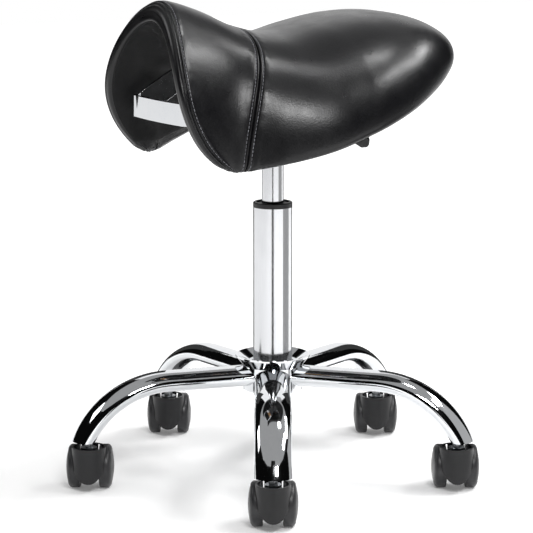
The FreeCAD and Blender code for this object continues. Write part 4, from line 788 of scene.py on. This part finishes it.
    def stitch_line(self, edge: np.ndarray, offset: float, spots: dict[str, np.ndarray],
                    sink: float) -> np.ndarray:
        """Places and directions of the stitches along one row.

        Args:
            edge: Forward position of the seam at each spot.
            offset: Distance of the row ahead of the seam.
            spots: Spots round the section.
            sink: Depth of the row under the skin, in millimetres.

        Returns:
            Matrices (n, 4, 4) of the stitches, X along the row and Z out of the skin.
        """
        path = self.surface(edge + offset, spots)
        ahead = self.surface(edge + offset + 1.0, spots)
        keep = spots["kind"] != 2
        order = np.where(keep)[0]
        right = order[order > len(spots["kind"]) - self.hem_steps]
        order = np.concatenate([right, order[order <= len(spots["kind"]) - self.hem_steps]])
        path = path[order]
        ahead = ahead[order]
        return place_stitches(path, ahead - path, self.stitch_pitch * MM, sink * MM)

    def build_stitches(self) -> list[bpy.types.Object]:
        """Topstitching on both sides of the cross seam and one row beside the rim's seam."""
        spots = self.spots()
        seam = self.settle(spots, self.form.seam_edge)
        edge = self.settle(spots, self.form.front_edge) - self.rim_radius
        seam_rows = [self.stitch_line(seam, offset, spots, self.stitch_sink)
                     for offset in (self.stitch_offset, -self.stitch_offset)]
        rim_start = self.rim_radius * self.rim_seam_turn
        rim_rows = [self.stitch_line(edge, min(rim_start - self.stitch_offset, 0.0), spots,
                                     self.stitch_sink)]
        return [self.sew("cross_seam_stitches", seam_rows), self.sew("rim_stitches", rim_rows)]

    def sew(self, name: str, rows: list[np.ndarray]) -> bpy.types.Object:
        """Model one stitch and copy it to every place of some rows."""
        bpy.ops.object.select_all(action="DESELECT")
        bpy.ops.mesh.primitive_cylinder_add(vertices=8, radius=self.stitch_radius * MM,
                                            depth=self.stitch_length * MM * 0.7,
                                            rotation=(0, math.pi / 2, 0))
        stitch = bpy.context.active_object
        bpy.ops.object.transform_apply(location=False, rotation=True, scale=False)
        for sign in (1, -1):
            bpy.ops.object.mode_set(mode="EDIT")
            bpy.ops.mesh.select_all(action="DESELECT")
            bpy.ops.object.mode_set(mode="OBJECT")
            for face in stitch.data.polygons:
                face.select = face.normal.x * sign > 0.9
            bpy.ops.object.mode_set(mode="EDIT")
            bpy.ops.mesh.select_mode(type="FACE")
            bpy.ops.mesh.extrude_region_move(
                TRANSFORM_OT_translate={"value": (sign * self.stitch_length * MM * 0.15, 0,
                                                  -self.stitch_radius * MM * 0.9)})
            bpy.ops.transform.resize(value=(0.6, 0.6, 0.6))
            bpy.ops.object.mode_set(mode="OBJECT")
        corners = np.array([v.co[:] + (1.0,) for v in stitch.data.vertices])
        loops = [list(face.vertices) for face in stitch.data.polygons]
        bpy.data.objects.remove(stitch)
        points = []
        faces = []
        for matrix in np.concatenate(rows):
            start = len(points)
            points.extend((corners @ matrix.T)[:, :3].tolist())
            faces.extend([[start + i for i in loop] for loop in loops])
        mesh = bpy.data.meshes.new(name)
        mesh.from_pydata(points, [], faces)
        # the thread's grey colour is a painted sheen on black thread
        piece = new_piece(name, mesh, "seat", THREAD_PAINTED_SHEEN)
        smooth(piece, 60.0)
        return piece

    def build(self) -> None:
        """Build every piece of the seat."""
        self.build_front()
        self.build_rear()
        self.build_lining()
        self.build_stitches()


def place_stitches(path: np.ndarray, beside: np.ndarray, pitch: float, sink: float) -> np.ndarray:
    """Matrices of stitches evenly spaced along a path on the skin.

    Args:
        path: Points of the row, in metres.
        beside: A direction across the row at each point.
        pitch: Distance from stitch to stitch.
        sink: Depth of the stitches under the points.

    Returns:
        Array of 4 by 4 matrices.
    """
    lengths = np.concatenate([[0], np.cumsum(np.linalg.norm(np.diff(path, axis=0), axis=1))])
    places = np.arange(pitch / 2, lengths[-1], pitch)
    point = np.stack([np.interp(places, lengths, path[:, k]) for k in range(3)], axis=-1)
    later = np.stack([np.interp(places + pitch / 4, lengths, path[:, k]) for k in range(3)], axis=-1)
    across = np.stack([np.interp(places, lengths, beside[:, k]) for k in range(3)], axis=-1)
    way = later - point
    way /= np.maximum(np.linalg.norm(way, axis=1, keepdims=True), 1e-12)
    out = np.cross(way, across)
    out /= np.maximum(np.linalg.norm(out, axis=1, keepdims=True), 1e-12)
    middle = path.mean(axis=0)
    flip = np.sign(np.sum(out * (point - middle), axis=1, keepdims=True))
    out = out * np.where(flip == 0, 1, flip)
    third = np.cross(out, way)
    matrices = np.zeros((len(point), 4, 4))
    matrices[:, :3, 0] = way
    matrices[:, :3, 1] = third
    matrices[:, :3, 2] = out
    matrices[:, :3, 3] = point - out * sink
    matrices[:, 3, 3] = 1
    return matrices


# Casters

@dataclass(frozen=True)
class CasterWheel:
    """Moulded twin wheel with a raised ring and a shallow dished middle, in millimetres."""

    diameter: float = 55.0
    tread: float = 14.0
    dome: float = 4.2
    gap: float = 24.0
    trail: float = 18.0
    axle: float = 6.1

    def profile(self) -> list[tuple[float, float]]:
        """Radius and distance out of the wheel's section, from its bore round to its bore."""
        r = self.diameter / 2
        t = self.tread
        bore = self.axle / 2
        corners = [(bore, 0.0), (11.0, 0.0), (11.0, 2.0), (r - 5.0, 2.0), (r - 5.0, 0.0),
                   (r - 1.6, 0.0), (r - 0.5, 0.5), (r, 1.6), (r, t - 3.4), (r - 0.35, t - 1.9),
                   (r - 1.3, t - 0.7), (r - 2.6, t + 0.35), (r - 4.2, t + 1.15),
                   (r - 4.8, t + 0.75), (r - 5.4, t + 1.2)]
        steps = 9
        start = r - 5.4
        for k in range(1, steps + 1):
            radius = start * (1 - k / steps)
            height = t + 1.2 + (self.dome - 1.2) * (1 - (radius / start) ** 2)
            corners.append((max(radius, 0.0), height))
        corners.append((0.0, t - 0.3))
        corners.append((bore, t - 0.3))
        corners.append((bore, 0.0))
        return [(radius * MM, height * MM) for radius, height in corners]

    def build(self, side: int) -> bpy.types.Mesh:
        """Mesh of one wheel beside its caster's stem axis.

        Args:
            side: 1 for the wheel at +X, -1 for the other.

        Returns:
            Its mesh, with the axle along X.
        """
        wheel = spun("wheel_blank", self.profile(), 72)
        smooth(wheel, 30.0)
        mesh = wheel.data
        bpy.data.objects.remove(wheel)
        turn = Matrix.Rotation(math.pi / 2, 4, "Y")
        place = Matrix.Translation((self.gap / 2 * MM, self.trail * MM, self.diameter / 2 * MM))
        mesh.transform(place @ turn)
        if side < 0:
            mesh.transform(Matrix.Scale(-1, 4, (1, 0, 0)))
            mesh.flip_normals()
        return mesh


@dataclass(frozen=True)
class Casters:
    """Five casters at the legs' ends."""

    circle: float = 243.0          # radius of the stems, mm

    def place(self, number: int) -> Matrix:
        """Matrix that stands a caster under its leg, turned to the shared heading."""
        turn = -HEADING + 2 * math.pi / LEG_COUNT * (number - 1)
        spot = Vector((math.cos(turn), math.sin(turn), 0)) * self.circle * MM
        return Matrix.Translation(spot) @ Matrix.Rotation(math.pi / 2 - HEADING, 4, "Z")

    def build(self) -> None:
        """Build wheels and hoods of every caster."""
        wheel = CasterWheel()
        wheels = {"left": wheel.build(1), "right": wheel.build(-1)}
        for number in range(1, LEG_COUNT + 1):
            for side, mesh in wheels.items():
                node = "caster_%d_wheel_%s" % (number, side)
                copy = mesh.copy()
                copy.transform(self.place(number))
                new_piece(node.replace("wheel", "rolling_wheel"), copy, node, WHEEL_PLASTIC,
                          (node,))
            node = "caster_%d_hood" % number
            hood = rounded_copy(node, "caster_%d_moulded_hood" % number, 1.1 * MM, 3, 40.0)
            dress(hood, "caster_%d" % number, HOOD_PLASTIC, (node,))


# Chrome handle

@dataclass(frozen=True)
class PommelHandle:
    """Chromed handle under the pommel."""

    edge: float = 1.3              # mm, broken edges of the pressed band
    straighten: float = 5.0        # mm taken off the bow of the cross bar, at its middle
    bar_from: float = 150.0        # mm ahead of the column, where the cross bar starts
    bar_half: float = 50.0         # mm, half its length between the corners
    spread_from: float = 95.0      # mm ahead of the column, where the legs start to splay
    spread_to: float = 160.0
    splay: float = 0.22            # share by which the bar is wider than the feet
    forward: float = 8.0           # mm by which the splayed legs reach further

    def build(self) -> None:
        """Build the handle: the pressed band with splayed legs and a nearly straight bar."""
        handle = rounded_copy("pommel_handle", "chrome_pommel_handle", self.edge * MM, 3, 30.0)
        for vertex in handle.data.vertices:
            ahead = -vertex.co.y / MM
            along = min(abs(vertex.co.x) / (self.bar_half * MM), 1.0)
            grown = min(max((ahead - self.spread_from) / (self.spread_to - self.spread_from), 0.0), 1.0)
            if ahead > self.bar_from:
                ahead -= self.straighten * (1 - along ** 2)
            vertex.co.y = -(ahead + self.forward * grown) * MM
            vertex.co.x *= 1 + self.splay * grown
        dress(handle, "seat", CHROME, ("pommel_handle",))


# Nodes that stay

@dataclass(frozen=True)
class CarriedNodes:
    """CAD nodes whose shapes stay: each takes the finish of its material slot."""

    def dress_all(self) -> None:
        """Give every node the finish of its slot."""
        for entry in frame["record"]["subparts"]:
            node = frame["nodes"][entry["node"]]
            finish = FINISH_OF_SLOT[entry["material_slot"]]
            node.data.materials.clear()
            node.data.materials.append(finish.material())
            log.info("%s: kept, %s", node.name, finish.name)


# Studio

@dataclass(frozen=True)
class SoftBox:
    """One soft lamp: its place towards the camera, to its right and up, its size and its power."""

    name: str
    place: tuple[float, float, float]
    size: tuple[float, float]
    watts: float


LAMPS = (
    SoftBox("key_box", (2.45, 0.5, 2.05), (0.8, 0.5), 40.0),
    SoftBox("side_strip", (0.45, 1.9, 2.6), (1.1, 0.35), 28.0),
    SoftBox("back_strip", (-0.75, 2.1, 2.35), (1.3, 0.4), 30.0),
    SoftBox("left_box", (-0.4, -2.4, 1.9), (1.2, 0.6), 10.0),
    SoftBox("top_box", (-0.1, 0.75, 2.45), (0.3, 0.3), 9.0),
)
# Flags close to the column, for the dark lines of its tubes: azimuth, width and shade
NEAR_FLAGS = (
    ("camera_stand", 0.0, 0.1, "#060606"),
    ("grey_panel", 84.0, 0.4, "#b4b4b4"),
    ("left_edge_flag", -150.0, 0.2, "#3c3c3c"),
    ("right_edge_flag", 150.0, 0.2, "#3c3c3c"),
)


@dataclass(frozen=True)
class Studio:
    """White floor and backdrop, soft lamps, dark flags for the chrome, and the camera."""

    distance: float = 2.8072
    height: float = 0.7966
    left: float = 0.0079
    pitch: float = math.radians(10.5623)
    focal_pixels: float = 2245.06
    picture: float = 533.0
    sensor: float = 36.0
    wall_flags: int = 12
    wall_span: float = 290.0       # degrees of the dark wall, open behind the stool
    wall_width: float = 1.7        # of one flag of the wall, metres
    wall_bottom: float = 0.25      # so that the handle mirrors the white floor under the wall
    near_flag_distance: float = 0.5
    near_flag_heights: tuple[float, float] = (0.005, 0.42)
    lamps_aim_at: float = 0.42     # metres above the floor
    wall_distance: float = 3.6     # metres
    wall_top: float = 3.6          # metres, so that only lamps shine under 45 degrees
    mirror_lift: float = 0.5       # share of the floor's glow that chrome and leather mirror
    world_light: float = 0.5
    floor_lift: float = 0.75       # glow of the far floor; none within the stool's own shadow
    near_lift: float = 0.1         # glow under the stool
    lift_from: float = 0.2         # metres from the column
    lift_to: float = 1.6

    def directions(self) -> tuple[Vector, Vector]:
        """Directions towards the camera and to the right of its picture."""
        toward = Vector((math.cos(HEADING), -math.sin(HEADING), 0))
        right = Vector((math.sin(HEADING), math.cos(HEADING), 0))
        return toward, right

    def build_camera(self) -> None:
        """Stand the camera where the picture was taken from."""
        toward, right = self.directions()
        data = bpy.data.cameras.new("camera")
        data.sensor_fit = "HORIZONTAL"
        data.sensor_width = self.sensor
        data.lens = self.focal_pixels / self.picture * self.sensor
        camera = bpy.data.objects.new("camera", data)
        camera.location = toward * self.distance - right * self.left + UP * self.height
        look = -toward * math.cos(self.pitch) - UP * math.sin(self.pitch)
        camera.rotation_euler = look.to_track_quat("-Z", "Y").to_euler()
        bpy.context.scene.collection.objects.link(camera)
        bpy.context.scene.camera = camera

    def add_lamp(self, box: SoftBox) -> None:
        """Add a soft box that faces the stool."""
        toward, right = self.directions()
        data = bpy.data.lights.new(box.name, "AREA")
        data.shape = "RECTANGLE"
        data.size, data.size_y = box.size
        data.energy = box.watts
        lamp = bpy.data.objects.new(box.name, data)
        lamp.location = toward * box.place[0] + right * box.place[1] + UP * box.place[2]
        aim = UP * self.lamps_aim_at - lamp.location
        lamp.rotation_euler = aim.to_track_quat("-Z", "Y").to_euler()
        bpy.context.scene.collection.objects.link(lamp)

    def add_flag(self, name: str, azimuth: float, distance: float, width: float,
                 heights: tuple[float, float], shade: str) -> None:
        """Stand a dark flag that only mirrors see, so that chrome and leather get dark reflections.

        Args:
            name: Flag name.
            azimuth: Degrees to the right of the camera, round the stool.
            distance: Metres from the column.
            width: Metres across.
            heights: Its lower and upper edge, in metres.
            shade: Its colour as an sRGB hex code.
        """
        toward, right = self.directions()
        turn = math.radians(azimuth)
        way = toward * math.cos(turn) + right * math.sin(turn)
        bpy.ops.object.select_all(action="DESELECT")
        bpy.ops.mesh.primitive_plane_add(size=1.0)
        flag = bpy.context.active_object
        flag.name = name
        flag.scale = (width, heights[1] - heights[0], 1)
        flag.location = way * distance + UP * (heights[0] + heights[1]) / 2
        flag.rotation_euler = (-way).to_track_quat("Z", "Y").to_euler()
        self.hide_from_all_but_mirrors(flag, shade)

    def add_ceiling(self) -> None:
        """Hang a grey ceiling on the walls, which dims what the top of the saddle mirrors."""
        bpy.ops.object.select_all(action="DESELECT")
        bpy.ops.mesh.primitive_plane_add(size=2 * self.wall_distance, location=(0, 0, self.wall_top))
        ceiling = bpy.context.active_object
        ceiling.name = "grey_ceiling"
        self.hide_from_all_but_mirrors(ceiling, "#a0a0a0")

    def hide_from_all_but_mirrors(self, flag: bpy.types.Object, shade: str) -> None:
        """Give a flag its shade and show it to glossy rays alone."""
        material = bpy.data.materials.new(flag.name)
        material.use_nodes = True
        tree = material.node_tree
        tree.nodes.clear()
        dark = add_node(tree, "ShaderNodeEmission", {}, {"Color": linear(shade), "Strength": 1.0})
        add_node(tree, "ShaderNodeOutputMaterial", {}, {"Surface": dark.outputs[0]})
        flag.data.materials.append(material)
        flag.visible_camera = False
        flag.visible_diffuse = False
        flag.visible_shadow = False

    def build_floor(self) -> None:
        """White floor that keeps the stool's shadow."""
        bpy.ops.object.select_all(action="DESELECT")
        bpy.ops.mesh.primitive_plane_add(size=14.0, location=(0, 0, 0))
        floor = bpy.context.active_object
        floor.name = "studio_floor"
        material = bpy.data.materials.new("white_floor")
        material.use_nodes = True
        tree = material.node_tree
        tree.nodes.clear()
        matt = add_node(tree, "ShaderNodeBsdfDiffuse", {}, {"Color": linear("#f4f4f4")})
        place = add_node(tree, "ShaderNodeTexCoord").outputs["Object"]
        away = add_node(tree, "ShaderNodeVectorMath", {"operation": "LENGTH"}, {0: place})
        glow = add_node(tree, "ShaderNodeMapRange", {},
                        {"Value": away.outputs["Value"], "From Min": self.lift_from,
                         "From Max": self.lift_to, "To Min": self.near_lift,
                         "To Max": self.floor_lift})
        white = add_node(tree, "ShaderNodeEmission", {},
                         {"Color": (1, 1, 1, 1), "Strength": glow.outputs["Result"]})
        ray = add_node(tree, "ShaderNodeLightPath")
        mirrored = add_node(tree, "ShaderNodeMath", {"operation": "MULTIPLY"},
                            {0: ray.outputs["Is Glossy Ray"], 1: self.mirror_lift})
        seen = add_node(tree, "ShaderNodeMath", {"operation": "MAXIMUM"},
                        {0: ray.outputs["Is Camera Ray"], 1: mirrored.outputs[0]})
        lift = add_node(tree, "ShaderNodeMixShader", {},
                        {0: seen.outputs[0], 1: add_node(tree, "ShaderNodeEmission", {},
                                                         {"Strength": 0.0}).outputs[0],
                         2: white.outputs[0]})
        both = add_node(tree, "ShaderNodeAddShader", {}, {0: matt.outputs[0], 1: lift.outputs[0]})
        add_node(tree, "ShaderNodeOutputMaterial", {}, {"Surface": both.outputs[0]})
        floor.data.materials.append(material)

    def build_world(self) -> None:
        """Even white surroundings: full white where seen or mirrored, softer as light."""
        world = bpy.data.worlds.new("studio")
        bpy.context.scene.world = world
        world.use_nodes = True
        tree = world.node_tree
        tree.nodes.clear()
        ray = add_node(tree, "ShaderNodeLightPath")
        seen = add_node(tree, "ShaderNodeMath", {"operation": "MAXIMUM"},
                        {0: ray.outputs["Is Camera Ray"], 1: ray.outputs["Is Transmission Ray"]})
        either = add_node(tree, "ShaderNodeMath", {"operation": "MAXIMUM"},
                          {0: seen.outputs[0], 1: ray.outputs["Is Glossy Ray"]})
        strength = add_node(tree, "ShaderNodeMapRange", {},
                            {"Value": either.outputs[0], "To Min": self.world_light, "To Max": 1.0})
        sky = add_node(tree, "ShaderNodeBackground", {},
                       {"Color": (1, 1, 1, 1), "Strength": strength.outputs["Result"]})
        add_node(tree, "ShaderNodeOutputWorld", {}, {"Surface": sky.outputs[0]})

    def build(self) -> None:
        """Set up camera, lamps, flags, floor and world."""
        self.build_camera()
        self.build_floor()
        self.build_world()
        for lamp in LAMPS:
            self.add_lamp(lamp)
        for number in range(self.wall_flags):
            azimuth = self.wall_span * (number / (self.wall_flags - 1) - 0.5)
            self.add_flag("dark_wall_%d" % number, azimuth, self.wall_distance,
                          self.wall_width, (self.wall_bottom, self.wall_top), "#0a0a0a")
        self.add_ceiling()
        for name, azimuth, width, shade in NEAR_FLAGS:
            self.add_flag(name, azimuth, self.near_flag_distance, width, self.near_flag_heights,
                          shade)
        bpy.context.scene.view_settings.view_transform = "Standard"


def main() -> None:
    """Build the whole stool and its studio."""
    logging.basicConfig(level=logging.INFO, format="%(message)s")
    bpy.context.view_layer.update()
    Studio().build()
    CarriedNodes().dress_all()
    SaddleSeat().build()
    PommelHandle().build()
    Casters().build()


if __name__ == "__main__":
    main()
